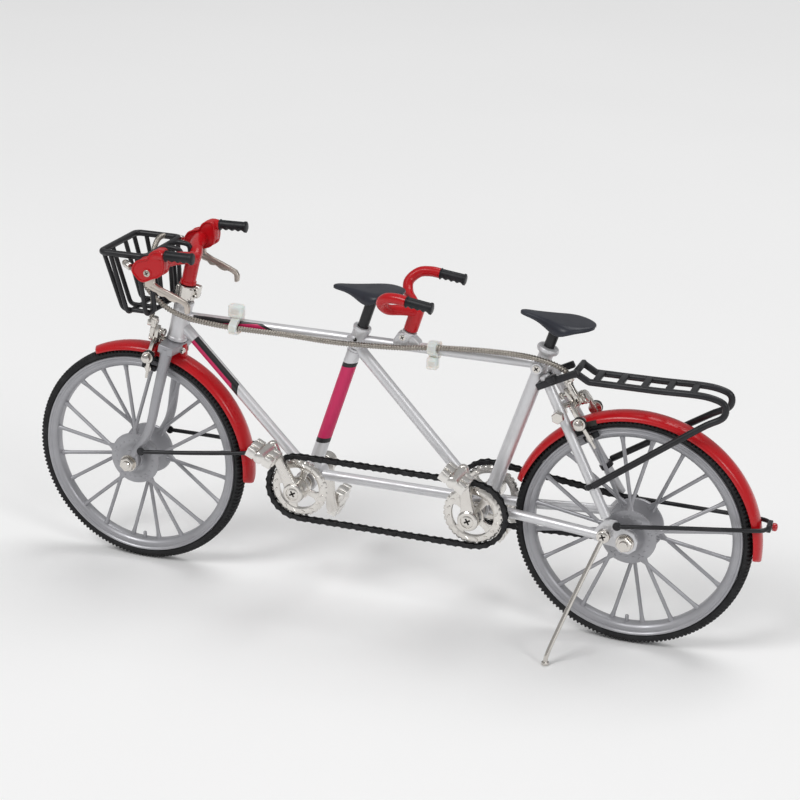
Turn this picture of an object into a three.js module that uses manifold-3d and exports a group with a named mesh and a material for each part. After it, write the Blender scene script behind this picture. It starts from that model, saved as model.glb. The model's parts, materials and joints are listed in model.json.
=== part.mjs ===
// Tandem bicycle, a small cast-metal display model. Millimetres, +Z up.
// The bicycle faces -X and its left side faces -Y. The origin is on the floor, midway along its length.
import * as THREE from 'three';
import { mergeVertices } from 'three/addons/utils/BufferGeometryUtils.js';
import Module from 'manifold-3d';

const wasm = await Module();
wasm.setup();

// ---------------------------------------------------------------- driving dimensions
const FRONT_REACH = 110.5; // from the middle of the wheelbase to the front tyre
const REAR_REACH = 116.6; // from the middle of the wheelbase to the tail reflector
const WHEELBASE = 153;
const TYRE_R = 34;
const TYRE_HALF = 2.5;
const GAP = 0.3; // between pieces that touch on the real object

const HUB_Z = TYRE_R;
const FRONT_HUB = { x: -WHEELBASE / 2, z: HUB_Z };
const REAR_HUB = { x: WHEELBASE / 2, z: HUB_Z };
const HUB_HALF = 6; // |Y| of the hub's end faces
const AXLE_R = 1.15;
const AXLE_BORE_R = 1.25;
const AXLE_HOLE_R = AXLE_R + 0.2; // in the fork tips and dropouts

const FRONT_BB = { x: -20.5, z: 35.4 };
const REAR_BB = { x: 32.6, z: 35.6 };
const BB_SHELL_R = 3.2;
const BB_SHELL_HALF = 5.5;
const CRANK_AXLE_R = 1.6;
const CRANK_BORE_R = 1.72;
const CRANK_LENGTH = 15;
const CRANK_DEG = { frontLeft: 116.5, frontRight: 276, rearLeft: 98, rearRight: 278 }; // +X towards +Z
const LEFT_BOSS_INNER = 8.9; // |Y| of the inner face of a left crank's boss
const DRIVE_BOSS_INNER = 5.9; // the same on the drive side

const RING_R = 8.75;
const SPROCKET_R = 5.2;
const RING_THICK = 1.2;
const CHAIN_CLEARANCE = 0.3;
const CHAIN_DEPTH = 1.25;
const CHAIN_WIDTH = 1.8;
const TIMING_PLANE = -10; // Y of the left chain
const DRIVE_PLANE = 6.8; // Y of the right chain

const TOP_TUBE_Z = 79.65;
const TOP_TUBE_R = 1.5;
const FRAME_TUBE_R = 1.65; // down tube and diagonal tube
const BOTTOM_TUBE_R = 1.55;
const BOTTOM_TUBE_Z = 36.2;
const SEAT_TUBE_R = 2.05;
const POST_R = 1.55;
const POST_BORE_R = 1.7;
const STAY_R = 1.45;
const CABLE_R = 0.85;
const WIRE_R = 0.95;
const THIN_WIRE_R = 0.7;

// The steering axis leans back: x = STEER_X + STEER_LEAN * (z - STEER_Z)
const STEER_X = -63.94;
const STEER_Z = 72.56;
const STEER_LEAN = 0.236;
const HEAD_LOW = 72.4;
const HEAD_HIGH = 84.6;
const HEAD_R = 3;
const HEAD_BORE_R = 1.85;
const STEERER_R = 1.6;

const SEAT_LEAN = 0.327; // dx/dz of both seat tubes
const SEAT_REF_Z = 47.2;
const FRONT_SEAT_X = -17; // x of the front seat tube at SEAT_REF_Z
const REAR_SEAT_X = 37.5;
const SEAT_BORE_FLOOR = 62; // z where the seatpost bores end

// ---------------------------------------------------------------- shape helpers
const v = (x, y, z) => new THREE.Vector3(x, y, z);
const Y_AXIS = v(0, 1, 0);
const steer = (z, y = 0) => v(STEER_X + STEER_LEAN * (z - STEER_Z), y, z);
const onFrontSeat = (z) => v(FRONT_SEAT_X + SEAT_LEAN * (z - SEAT_REF_Z), 0, z);
const onRearSeat = (z) => v(REAR_SEAT_X + SEAT_LEAN * (z - SEAT_REF_Z), 0, z);
const mirrored = (points) => points.map((p) => v(p.x, -p.y, p.z));
const radians = THREE.MathUtils.degToRad;

// A closed three.js geometry becomes a solid whose faces point out.
function solid(geometry) {
  const bare = geometry.clone();
  bare.deleteAttribute('normal');
  bare.deleteAttribute('uv');
  const merged = mergeVertices(bare, 1e-4);
  const position = merged.attributes.position;
  const corner = [v(0, 0, 0), v(0, 0, 0), v(0, 0, 0)];
  const kept = [];
  let volume = 0;
  for (let i = 0; i < merged.index.count; i += 3) {
    const ids = [0, 1, 2].map((k) => merged.index.getX(i + k));
    if (new Set(ids).size < 3) continue;
    ids.forEach((id, k) => corner[k].fromBufferAttribute(position, id));
    volume += corner[0].dot(corner[1].clone().cross(corner[2]));
    kept.push(ids);
  }
  const faces = volume < 0 ? kept.map(([a, b, c]) => [a, c, b]) : kept;
  const vertProperties = Float32Array.from(position.array);
  const triVerts = Uint32Array.from(faces.flat());
  return new wasm.Manifold(new wasm.Mesh({ numProp: 3, vertProperties, triVerts }));
}

const join = (...solids) => solids.reduce((a, b) => a.add(b));
const cut = (body, ...tools) => tools.reduce((a, b) => a.subtract(b), body);

// A straight round bar from one point to another.
function rod(from, to, r, sides = 10) {
  const along = to.clone().sub(from);
  const shape = new THREE.CylinderGeometry(r, r, along.length(), sides);
  const turn = new THREE.Quaternion().setFromUnitVectors(Y_AXIS, along.clone().normalize());
  shape.applyQuaternion(turn);
  shape.translate(...from.clone().lerp(to, 0.5).toArray());
  return solid(shape);
}

// A round bar bent along a smooth curve.
function bent(points, r, sides, steps) {
  const section = new THREE.Shape();
  section.moveTo(r, 0);
  for (let i = 1; i < sides; i++) {
    const a = (i / sides) * 2 * Math.PI;
    section.lineTo(r * Math.cos(a), r * Math.sin(a));
  }
  const extrudePath = new THREE.CatmullRomCurve3(points, false, 'centripetal');
  return solid(new THREE.ExtrudeGeometry(section, { steps, bevelEnabled: false, extrudePath }));
}

// A turned shape about a line along Y through (x, z); the profile is [radius, y] pairs.
function turned(profile, x, z, segments = 24) {
  const points = profile.map(([r, y]) => new THREE.Vector2(r, y));
  return solid(new THREE.LatheGeometry(points, segments).translate(x, 0, z));
}

// A disc or short cylinder along Y.
const disc = (x, z, r, y0, y1, segments = 20) => rod(v(x, y0, z), v(x, y1, z), r, segments);

// A ring along Y, from y0 to y1.
function ring(x, z, rIn, rOut, y0, y1, segments = 20) {
  return turned([[rIn, y0], [rOut, y0], [rOut, y1], [rIn, y1], [rIn, y0]], x, z, segments);
}

// A flat plate with an outline of [x, z] pairs, standing between y0 and y1.
function plate(outline, y0, y1, hole = null) {
  const shape = new THREE.Shape(outline.map(([x, z]) => new THREE.Vector2(x, z)));
  if (hole) shape.holes.push(new THREE.Path(hole.map(([x, z]) => new THREE.Vector2(x, z))));
  const depth = Math.abs(y1 - y0);
  const geometry = new THREE.ExtrudeGeometry(shape, { depth, bevelEnabled: false });
  geometry.rotateX(Math.PI / 2);
  geometry.translate(0, Math.max(y0, y1), 0);
  return solid(geometry);
}

const box = (w, d, h, x, y, z) => solid(new THREE.BoxGeometry(w, d, h).translate(x, y, z));

// The outline of a belt round two circles, as [u, w] pairs.
function beltOutline([u1, w1], r1, [u2, w2], r2, perArc = 10) {
  const heading = Math.atan2(w2 - w1, u2 - u1);
  const spread = Math.acos((r1 - r2) / Math.hypot(u2 - u1, w2 - w1));
  const outline = [];
  for (let i = 0; i <= perArc; i++) {
    const a = heading + spread + (i / perArc) * (2 * Math.PI - 2 * spread);
    outline.push([u1 + r1 * Math.cos(a), w1 + r1 * Math.sin(a)]);
  }
  for (let i = 0; i <= perArc; i++) {
    const a = heading - spread + (i / perArc) * 2 * spread;
    outline.push([u2 + r2 * Math.cos(a), w2 + r2 * Math.sin(a)]);
  }
  return outline;
}

// A piece given in a frame of its own: the axes are where its x, y and z point.
function placed(body, xAxis, yAxis, zAxis, origin) {
  const m = new THREE.Matrix4().makeBasis(xAxis, yAxis, zAxis).setPosition(origin);
  return body.transform(m.elements);
}

// ---------------------------------------------------------------- materials and parts
const finish = (color, roughness, metalness) => new THREE.MeshStandardMaterial({ color, roughness, metalness });
const silverPaint = () => finish(0xc9cad0, 0.35, 0.5);
const redPaint = () => finish(0xc4161c, 0.3, 0.1);
const castGrey = () => finish(0xa6a8ab, 0.5, 0.5);
const nickel = () => finish(0xdcd6cc, 0.3, 0.9);
const blackWire = () => finish(0x1c1c20, 0.5, 0.2);
const blackPlastic = () => finish(0x1a1b1e, 0.6, 0);
const darkSaddle = () => finish(0x2b2d33, 0.55, 0);
const braid = () => finish(0xa79f92, 0.45, 0.6);
const clearNylon = () => finish(0xe8e4dc, 0.4, 0);
const redLens = () => finish(0xb0141c, 0.2, 0);

const tandem = new THREE.Group();
tandem.position.x = (FRONT_REACH - REAR_REACH) / 2;

function part(name, body, material) {
  const { vertProperties, triVerts } = body.getMesh();
  const geometry = new THREE.BufferGeometry();
  geometry.setAttribute('position', new THREE.BufferAttribute(vertProperties, 3));
  geometry.setIndex(new THREE.BufferAttribute(triVerts, 1));
  const mesh = new THREE.Mesh(geometry, material);
  mesh.name = name;
  tandem.add(mesh);
}

// ---------------------------------------------------------------- wheels and tyres
const SPOKE_PAIRS = 10;
const SPOKE_R = 0.55;
const SPOKE_HUB_R = 6.4; // where the spokes leave the flanges
const RIM_IN = 28.4;
const RIM_OUT = 31.3;
const TYRE_IN = 31.7;
const FLANGE_R = 8;
const FLANGE_Y = 4.6;

function wheel({ x, z }) {
  const rim = [[RIM_IN, -1.9], [RIM_OUT, -2.4], [RIM_OUT, 2.4], [RIM_IN, 1.9], [RIM_IN, -1.9]];
  const hubHalf = [[AXLE_BORE_R, -HUB_HALF], [2.8, -HUB_HALF], [2.8, -5.1], [FLANGE_R, -5.1], [FLANGE_R, -4.1], [3.4, -3.2]];
  const hub = [...hubHalf, ...hubHalf.map(([r, y]) => [r, -y]).reverse(), hubHalf[0]];
  const pieces = [turned(rim, x, z, 30), turned(hub, x, z, 12)];
  for (let i = 0; i < SPOKE_PAIRS; i++) {
    const side = i % 2 ? 1 : -1;
    const middle = ((i + 0.5) / SPOKE_PAIRS) * 2 * Math.PI;
    for (const swing of [-1, 1]) {
      const atHub = middle - swing * 0.1;
      const atRim = middle + (swing * Math.PI) / (2 * SPOKE_PAIRS);
      const rimR = RIM_IN + 0.5;
      const start = v(x + SPOKE_HUB_R * Math.cos(atHub), side * FLANGE_Y, z + SPOKE_HUB_R * Math.sin(atHub));
      const end = v(x + rimR * Math.cos(atRim), side * 0.5, z + rimR * Math.sin(atRim));
      pieces.push(rod(start, end, SPOKE_R, 3));
    }
  }
  return join(...pieces);
}

function tyre({ x, z }) {
  const half = [[TYRE_IN, -2.1], [33, -TYRE_HALF], [TYRE_R, -1.6]];
  return turned([...half, ...half.map(([r, y]) => [r, -y]).reverse(), half[0]], x, z, 32);
}

part('front_wheel', wheel(FRONT_HUB), castGrey());
part('front_tyre', tyre(FRONT_HUB), blackPlastic());
part('rear_wheel', wheel(REAR_HUB), castGrey());
part('rear_tyre', tyre(REAR_HUB), blackPlastic());

const SPROCKET_HUB_R = 2.5;
const sprocketBody = join(
  ring(REAR_HUB.x, REAR_HUB.z, AXLE_BORE_R, SPROCKET_R, DRIVE_PLANE - 0.45, DRIVE_PLANE + 0.45),
  ring(REAR_HUB.x, REAR_HUB.z, AXLE_BORE_R, SPROCKET_HUB_R, HUB_HALF + GAP, 8.9, 16),
);
part('rear_sprocket', sprocketBody, nickel());

// ---------------------------------------------------------------- frame tubes
const FAR = 30; // longer than any piece that is being cut
const alongTop = (r, x0 = -63, x1 = 50) => rod(v(x0, 0, TOP_TUBE_Z), v(x1, 0, TOP_TUBE_Z), r, 12);
const frontSeat = (r, low, high) => rod(onFrontSeat(low), onFrontSeat(high), r, 14);
const rearSeat = (r, low, high) => rod(onRearSeat(low), onRearSeat(high), r, 14);
const bbShell = ({ x, z }, grow = 0) => disc(x, z, BB_SHELL_R + grow, -BB_SHELL_HALF - grow, BB_SHELL_HALF + grow, 16);
const bbBore = ({ x, z }) => disc(x, z, CRANK_BORE_R, -FAR, FAR);
const SEAT_LUG_R = SEAT_TUBE_R + 0.35;
const FRONT_LUG = { low: 77.4, high: 83.9 };
const REAR_COLLAR = { low: 83.3, high: 85.1 };

const headTube = cut(rod(steer(HEAD_LOW), steer(HEAD_HIGH), HEAD_R, 18), rod(steer(60), steer(95), HEAD_BORE_R, 18));
part('head_tube', headTube, silverPaint());
const headSpace = rod(steer(70), steer(90), HEAD_R + GAP, 18);

const STOKER_FOOT = { x: 8.6, low: 80.3, high: 84 };
const stokerFoot = rod(v(STOKER_FOOT.x - 0.6, 0, STOKER_FOOT.low), v(STOKER_FOOT.x + 0.6, 0, STOKER_FOOT.high), 2.1, 14);
const topTube = cut(
  join(alongTop(TOP_TUBE_R, -61, 49), frontSeat(SEAT_LUG_R, FRONT_LUG.low, FRONT_LUG.high), stokerFoot),
  headSpace,
  frontSeat(POST_BORE_R, 60, 95),
  rearSeat(SEAT_TUBE_R + GAP, 60, 95),
);
part('top_tube', topTube, silverPaint());

const DOWN_TUBE = [v(-61.5, 0, 76.75), v(FRONT_BB.x - 0.2, 0, FRONT_BB.z)];
const downTube = cut(
  rod(...DOWN_TUBE, FRAME_TUBE_R, 12),
  headSpace,
  alongTop(TOP_TUBE_R + GAP),
  bbShell(FRONT_BB, GAP),
);
part('down_tube', downTube, silverPaint());

const frontSeatTube = cut(
  join(frontSeat(SEAT_TUBE_R, 37.5, FRONT_LUG.low - GAP), bbShell(FRONT_BB)),
  bbBore(FRONT_BB),
  frontSeat(POST_BORE_R, SEAT_BORE_FLOOR, 90),
  rod(...DOWN_TUBE, FRAME_TUBE_R + GAP, 12).subtract(bbShell(FRONT_BB, GAP)),
);
part('front_seat_tube', frontSeatTube, silverPaint());

const rearSeatTube = cut(
  join(
    rearSeat(SEAT_TUBE_R, 37.5, REAR_COLLAR.high),
    rearSeat(SEAT_TUBE_R + 0.6, REAR_COLLAR.low, REAR_COLLAR.high),
    bbShell(REAR_BB),
  ),
  bbBore(REAR_BB),
  rearSeat(POST_BORE_R, SEAT_BORE_FLOOR, 95),
);
part('rear_seat_tube', rearSeatTube, silverPaint());

const DIAGONAL = [v(-6.2, 0, 77.16), v(REAR_BB.x - 0.3, 0, REAR_BB.z + 0.6)];
const diagonalTube = cut(
  rod(...DIAGONAL, FRAME_TUBE_R, 12),
  alongTop(TOP_TUBE_R + GAP),
  frontSeat(SEAT_LUG_R + GAP, 60, 90),
  bbShell(REAR_BB, GAP),
  rearSeat(SEAT_TUBE_R + GAP, 30, 60),
);
part('diagonal_tube', diagonalTube, silverPaint());

const bottomTube = cut(
  rod(v(FRONT_BB.x, 0, BOTTOM_TUBE_Z), v(REAR_BB.x, 0, BOTTOM_TUBE_Z), BOTTOM_TUBE_R, 12),
  bbShell(FRONT_BB, GAP),
  bbShell(REAR_BB, GAP),
  frontSeat(SEAT_TUBE_R + GAP, 30, 60),
  rod(...DIAGONAL, FRAME_TUBE_R + GAP, 12),
);
part('bottom_tube', bottomTube, silverPaint());

// ---------------------------------------------------------------- rear triangle
const DROPOUT = { left: [-9.2, -8.2], right: [9.3, 10.2] };
const dropoutOutline = [
  [67.6, 36.4], [67.6, 33.4], [70.2, 32.6], [73.6, 32.2], [75, 30.9], [77.6, 30.6],
  [79.6, 32.2], [80, 34.6], [78.8, 36.9], [75.6, 38.2], [73.6, 40], [70.6, 40.2],
];
const dropout = ([y0, y1]) =>
  cut(plate(dropoutOutline, y0, y1), disc(REAR_HUB.x, REAR_HUB.z, AXLE_HOLE_R, y0 - 1, y1 + 1, 16));
const dropoutSpace = ([y0, y1]) => plate([[66, 30], [82, 30], [82, 40.5], [66, 40.5]], y0 - GAP, y1 + GAP);

const KICK_PIVOT = { x: 70.9, z: 36.2 };
const chainstayLeft = [v(35, -3.9, 35.6), v(52, -6.2, 35.4), v(69, -8.5, 34.9)];
const chainstayRight = [v(35, 3.7, 35.6), v(44.5, 4.1, 35.5), v(58, 7.2, 35.2), v(69, 9.5, 34.9)];
const rearBbSpace = join(bbShell(REAR_BB, GAP), rearSeat(SEAT_TUBE_R + GAP, 30, 60));
const kickstandPost = disc(KICK_PIVOT.x, KICK_PIVOT.z, 1.2, -10.2, -8.5, 14);
const leftStay = join(bent(chainstayLeft, STAY_R, 7, 4), dropout(DROPOUT.left), kickstandPost);
const rightStay = join(bent(chainstayRight, STAY_R, 7, 7), dropout(DROPOUT.right));
part('chainstay_left', cut(leftStay, rearBbSpace), silverPaint());
part('chainstay_right', cut(rightStay, rearBbSpace), silverPaint());

// The rear brake bolts to a bridge between the seatstays.
const BRIDGE = v(54.3, 0, 67.7);
const BRAKE_BACK = v(0.853, 0, 0.522);
const BOLT_R = 0.8;
const BOLT_REACH = 8;
const brakeBolt = (origin, axis) => rod(origin, origin.clone().addScaledVector(axis, BOLT_REACH), BOLT_R, 10);
const bridgeBar = rod(v(BRIDGE.x, -5.2, BRIDGE.z), v(BRIDGE.x, 3.4, BRIDGE.z), 1, 8);
const rearCluster = rearSeat(SEAT_TUBE_R + GAP, 60, 90);
const seatstayLeft = join(
  rod(v(50.1, -4.2, 78), v(70.9, -8.6, 39.4), STAY_R, 8),
  bridgeBar,
  brakeBolt(BRIDGE, BRAKE_BACK),
);
const seatstayRight = rod(v(49.5, 4.2, 78), v(70.9, 10.1, 39.4), STAY_R, 8);
part('seatstay_left', cut(seatstayLeft, rearCluster, dropoutSpace(DROPOUT.left)), silverPaint());
part('seatstay_right', cut(seatstayRight, rearCluster, dropoutSpace(DROPOUT.right)), silverPaint());

// ---------------------------------------------------------------- axles with their nuts
const NUT_R = 2.7;
const NUT_THICK = 1.6;
const AXLE_STUB = 2.2; // how far an axle stands out past the frame

function axle({ x, z }, leftFace, rightFace) {
  const nut = (face, side) => disc(x, z, NUT_R, face + side * GAP, face + side * (GAP + NUT_THICK), 6);
  return join(disc(x, z, AXLE_R, leftFace - AXLE_STUB, rightFace + AXLE_STUB, 16), nut(leftFace, -1), nut(rightFace, 1));
}

const FORK_FACE = 9.2; // |Y| of the fork tips' outer faces
part('rear_axle', axle(REAR_HUB, DROPOUT.left[0], DROPOUT.right[1]), nickel());
part('front_axle', axle(FRONT_HUB, -FORK_FACE, FORK_FACE), nickel());

// ---------------------------------------------------------------- fork, head and front bar
const STEER_UP = v(STEER_LEAN, 0, 1).normalize();
const STEER_FRONT = v(-STEER_UP.z, 0, STEER_UP.x);
const CROWN = { low: 69.5, high: HEAD_LOW - GAP, depth: 4.4, width: 14.2 };
const FRONT_BRAKE = steer(70.8);
const FORK_BLADE_R = 1.5;
const TIP_THICK = 1;
const forkTip = [[-79.4, 34], [-78.6, 31.6], [-76.5, 30.8], [-74.3, 31.7], [-73.4, 34], [-73.3, 38], [-76.8, 38]];

function forkLeg(side) {
  const blade = [steer(CROWN.low + 1.2, side * 5.7), steer(56, side * 6.2), steer(44, side * 7.4), v(-75.3, side * 8.7, 36.5)];
  const tip = plate(forkTip, side * (FORK_FACE - TIP_THICK), side * FORK_FACE);
  return join(bent(blade, FORK_BLADE_R, 8, 5), cut(tip, disc(FRONT_HUB.x, FRONT_HUB.z, AXLE_HOLE_R, -12, 12, 16)));
}

const crownHeight = (CROWN.high - CROWN.low) * Math.hypot(1, STEER_LEAN);
const crownBlock = placed(
  box(CROWN.depth, CROWN.width, crownHeight, 0, 0, 0),
  STEER_FRONT.clone().negate(),
  Y_AXIS,
  STEER_UP,
  steer((CROWN.low + CROWN.high) / 2),
);
const steererBar = rod(steer(CROWN.low + 1), steer(89.5), STEERER_R, 18);
part('fork', join(steererBar, crownBlock, forkLeg(-1), forkLeg(1), brakeBolt(FRONT_BRAKE, STEER_FRONT)), castGrey());

const STEM_CLAMP = { low: 85.4, high: 89.7, r: 2.8, boreR: 1.9 };
const clampEarAt = steer(87.6).add(v(1.4, 1.4, 0));
const clampEar = placed(box(4.4, 2.4, 3.2, 0, 0, 0), v(STEER_UP.z, 0, -STEER_UP.x), Y_AXIS, STEER_UP, clampEarAt);
const stemClamp = cut(
  join(rod(steer(STEM_CLAMP.low), steer(STEM_CLAMP.high), STEM_CLAMP.r, 18), clampEar),
  rod(steer(80), steer(95), STEM_CLAMP.boreR, 18),
);
part('stem_clamp', stemClamp, nickel());

const HOOD_Y = 17;
const HOOD_HALF = 1.65;
const SLOT_HALF = 0.95;
const BAR_R = 1.6;
const BAR_END = { x: -59.2, y: 18.1, z: 103.3 }; // where the front bar meets its grips
const frontBarSide = [
  v(-57.6, -0.6, 99.3), v(-59.4, -5, 101.8), v(-61.4, -11, 103), v(-61.8, -15, 103.2),
  v(-60.8, -17.4, 103.2), v(BAR_END.x, -BAR_END.y, BAR_END.z),
];
const hoodOutline = [
  [-67.3, 96.4], [-68.4, 98.4], [-66.8, 100.9], [-63.4, 102], [-62.3, 103.5], [-60.4, 104.6], [-59.2, 104.6],
  [-58.2, 103], [-58, 100.5], [-58.6, 97.9], [-61.8, 96.2], [-65, 94.9],
];
const slotOutline = [[-66.6, 99.4], [-64, 100], [-57, 99.4], [-57, 90], [-66.6, 90]];

function hood(side) {
  const body = plate(hoodOutline, side * HOOD_Y - HOOD_HALF, side * HOOD_Y + HOOD_HALF);
  return cut(body, plate(slotOutline, side * HOOD_Y - SLOT_HALF, side * HOOD_Y + SLOT_HALF));
}

const frontBar = join(
  rod(steer(STEM_CLAMP.high + GAP), steer(100.2), 2.1, 14),
  bent(frontBarSide, BAR_R, 7, 8),
  bent(mirrored(frontBarSide), BAR_R, 7, 8),
  hood(-1),
  hood(1),
);
part('front_handlebar', frontBar, redPaint());

function grip(from, to, r) {
  const back = from.clone().sub(to).setLength(1);
  return join(rod(from, to, r, 10), rod(to.clone().add(back), to, r + 0.25, 10));
}

for (const [label, side] of [['left', -1], ['right', 1]]) {
  const from = v(BAR_END.x + 1.4, side * BAR_END.y, BAR_END.z);
  part(`front_grip_${label}`, grip(from, v(-49.2, side * 18.4, 103.4), 1.6), blackPlastic());
}

// A lever blade, as [x, z] pairs from its pivot.
const LEVER_PIVOT = { x: -63.4, z: 97.5, r: 1.4 };
const LEVER_HALF = 0.65;
const leverOutline = [
  [-1.3, -0.4], [-1.6, -3.9], [0.8, -5.3], [2.8, -6.2], [5.4, -7], [7.6, -7.8], [9.8, -8.1], [10.9, -9], [11, -10.9],
  [12.1, -10.6], [12.2, -8.7], [11.2, -7.4], [9.5, -6.5], [6.4, -5.2], [3.4, -4.1], [1.4, -3.2], [1.3, -0.4],
];

function lever(side) {
  const { x, z, r } = LEVER_PIVOT;
  const [y0, y1] = [side * HOOD_Y - LEVER_HALF, side * HOOD_Y + LEVER_HALF];
  return join(plate(leverOutline.map(([dx, dz]) => [x + dx, z + dz]), y0, y1), disc(x, z, r, y0, y1, 12));
}

part('brake_lever_left', lever(-1), nickel());
part('brake_lever_right', lever(1), nickel());

// ---------------------------------------------------------------- basket
const BASKET = {
  topZ: 100, botZ: 82.5, frontTop: -82.2, rearTop: -67.6, frontBot: -77, rearBot: -66.6, halfTop: 11.4, halfBot: 10,
};

// Straight bars from point to point, each a little long so that they meet at the corners.
function basketWire(points, r, sides) {
  const bars = [];
  for (let i = 1; i < points.length; i++) {
    const overlap = points[i].clone().sub(points[i - 1]).setLength(r * 0.7);
    bars.push(rod(points[i - 1].clone().sub(overlap), points[i].clone().add(overlap), r, sides));
  }
  return join(...bars);
}

function basket() {
  const { topZ, botZ, frontTop, rearTop, frontBot, rearBot, halfTop, halfBot } = BASKET;
  const rim = [[frontTop, -1], [rearTop, -1], [rearTop, 1], [frontTop, 1], [frontTop, -1]];
  const pieces = [basketWire(rim.map(([x, side]) => v(x, side * halfTop, topZ)), WIRE_R, 4)];
  // wires that run front to back under the basket
  for (const t of [-0.84, -0.34, 0.34, 0.84]) {
    const [top, bottom] = [t * halfTop, t * halfBot];
    const wire = [v(frontTop, top, topZ), v(frontBot, bottom, botZ), v(rearBot, bottom, botZ), v(rearTop, top, topZ)];
    pieces.push(basketWire(wire, THIN_WIRE_R, 3));
  }
  // wires that run side to side
  for (const t of [0.22, 0.8]) {
    const top = THREE.MathUtils.lerp(frontTop, rearTop, t);
    const bottom = THREE.MathUtils.lerp(frontBot, rearBot, t);
    const half = [v(top, -halfTop, topZ), v(bottom, -halfBot, botZ)];
    pieces.push(basketWire([...half, ...mirrored(half).reverse()], THIN_WIRE_R, 3));
  }
  // the loop that hooks round the stem
  const hook = [v(rearTop, -3.4, topZ), v(-60.4, -3.4, 97.6), v(-54.9, -2.2, 97)];
  pieces.push(basketWire([...hook, ...mirrored(hook).reverse()], THIN_WIRE_R, 3));
  return join(...pieces);
}

part('basket', basket(), blackWire());

// ---------------------------------------------------------------- fenders and their stays
const FENDER_R = 36.2;
const FENDER_EDGE_R = 34.2; // radius at the skirts
const FENDER_HALF = 3.5;
const FENDER_THICK = 0.6;
const FRONT_FENDER = { x: FRONT_HUB.x + 0.9, z: FRONT_HUB.z - 0.2, from: -6, to: 115 };
const REAR_FENDER = { x: REAR_HUB.x + 0.3, z: REAR_HUB.z - 0.5, from: -4, to: 162 };

function fender({ x, z, from, to }) {
  const outer = [[FENDER_EDGE_R, -FENDER_HALF], [FENDER_R - 0.5, -2.6], [FENDER_R, 0], [FENDER_R - 0.5, 2.6], [FENDER_EDGE_R, FENDER_HALF]];
  const skirt = FENDER_HALF - FENDER_THICK;
  const crest = FENDER_R - FENDER_THICK;
  const inner = [[FENDER_EDGE_R, skirt], [crest - 0.4, 2], [crest, 0], [crest - 0.4, -2], [FENDER_EDGE_R, -skirt]];
  const hoop = turned([...outer, ...inner, outer[0]], x, z, 40);
  const wedge = [[x, z]];
  const steps = 6;
  for (let i = 0; i <= steps; i++) {
    const a = radians(THREE.MathUtils.lerp(from, to, i / steps));
    wedge.push([x + 2 * FENDER_R * Math.cos(a), z + 2 * FENDER_R * Math.sin(a)]);
  }
  return hoop.intersect(plate(wedge, -10, 10));
}

part('front_fender', fender(FRONT_FENDER), redPaint());
part('rear_fender', fender(REAR_FENDER), redPaint());

const FENDER_STAY_R = 0.6;
const frontStaySide = [v(-71.6, -9.8, 38.6), v(-56, -7.4, 39.7), v(-44, -4.9, 40.6), v(-39.4, -3.6, 41), v(-38.1, 0, 41)];
const rearStaySide = [v(74.6, -10.2, 39), v(90, -7.8, 40.2), v(108.5, -4.8, 41.4), v(113.2, -3.4, 41.6), v(114.3, 0, 41.6)];
const rearStayRight = [v(74.6, 11.3, 39), v(90, 8.2, 40.2), ...mirrored(rearStaySide.slice(2, -1))];
const frontStay = [...frontStaySide, ...mirrored(frontStaySide.slice(0, -1)).reverse()];
part('front_fender_stay', bent(frontStay, FENDER_STAY_R, 5, 18), blackWire());
part('rear_fender_stay', bent([...rearStaySide, ...rearStayRight.reverse()], FENDER_STAY_R, 5, 18), blackWire());
part('tail_reflector', rod(v(115.2, 0, 41.6), v(REAR_REACH, 0, 41.6), 1.2, 16), redLens());

// ---------------------------------------------------------------- rear rack
const RACK = { half: 4.2, z: 77.8, barsFrom: 64.5, barsTo: 91.1, bars: 5, barTopZ: 78.8 };
// One rail with its stay; stayY is where the stay's foot passes outside the seatstay.
const rackRail = (side, stayY) => [
  v(58.8, side * RACK.half, 79.2), v(61.4, side * RACK.half, 78.2), v(64.5, side * RACK.half, RACK.z),
  v(80, side * RACK.half, RACK.z), v(96.5, side * RACK.half, RACK.z), v(99.8, side * 4.3, 76.3),
  v(99.6, side * 4.5, 73.2), v(92, side * 5.6, 67.8), v(66.8, side * stayY, 49.9),
];
const rackPieces = [
  bent(rackRail(-1, 10.2), WIRE_R, 5, 20),
  bent(rackRail(1, 11.3), WIRE_R, 5, 20),
  rod(v(58.8, -RACK.half - 0.4, 79.2), v(58.8, RACK.half + 0.4, 79.2), WIRE_R, 5),
];
for (let i = 0; i < RACK.bars; i++) {
  const x = THREE.MathUtils.lerp(RACK.barsFrom, RACK.barsTo, i / (RACK.bars - 1));
  rackPieces.push(box(1.8, 2 * RACK.half, 1.4, x, 0, RACK.barTopZ - 0.7));
}
const bracketAlong = v(0.89, 0, 0.456);
const bracketUp = v(-0.456, 0, 0.89);
rackPieces.push(placed(box(13, 2.4, 1.3, 0, 0, 0), bracketAlong, Y_AXIS, bracketUp, v(53.6, 0, 76.6)));
part('rear_rack', cut(join(...rackPieces), rearSeat(SEAT_TUBE_R + GAP, 60, 90)), blackWire());

// ---------------------------------------------------------------- cranks, rings and pedals
// |Y| of each face, from the frame outwards
const LEFT_CRANK = { side: -1, boss: LEFT_BOSS_INNER, arm: [12.9, 15], outer: 15.5, pedal: [16.2, 24.5] };
const RIGHT_CRANK = { side: 1, boss: LEFT_BOSS_INNER, arm: [10.8, 12.6], outer: 13.2, pedal: [13.7, 22.4] };
const DRIVE_CRANK = { ...RIGHT_CRANK, boss: DRIVE_BOSS_INNER };
const SPINDLE_R = 0.9;
const SPINDLE_END = 0.9; // how far inside the pedal's outer face the spindle ends
const crankPoint = ({ x, z }, deg, reach) => [x + reach * Math.cos(radians(deg)), z + reach * Math.sin(radians(deg))];

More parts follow.
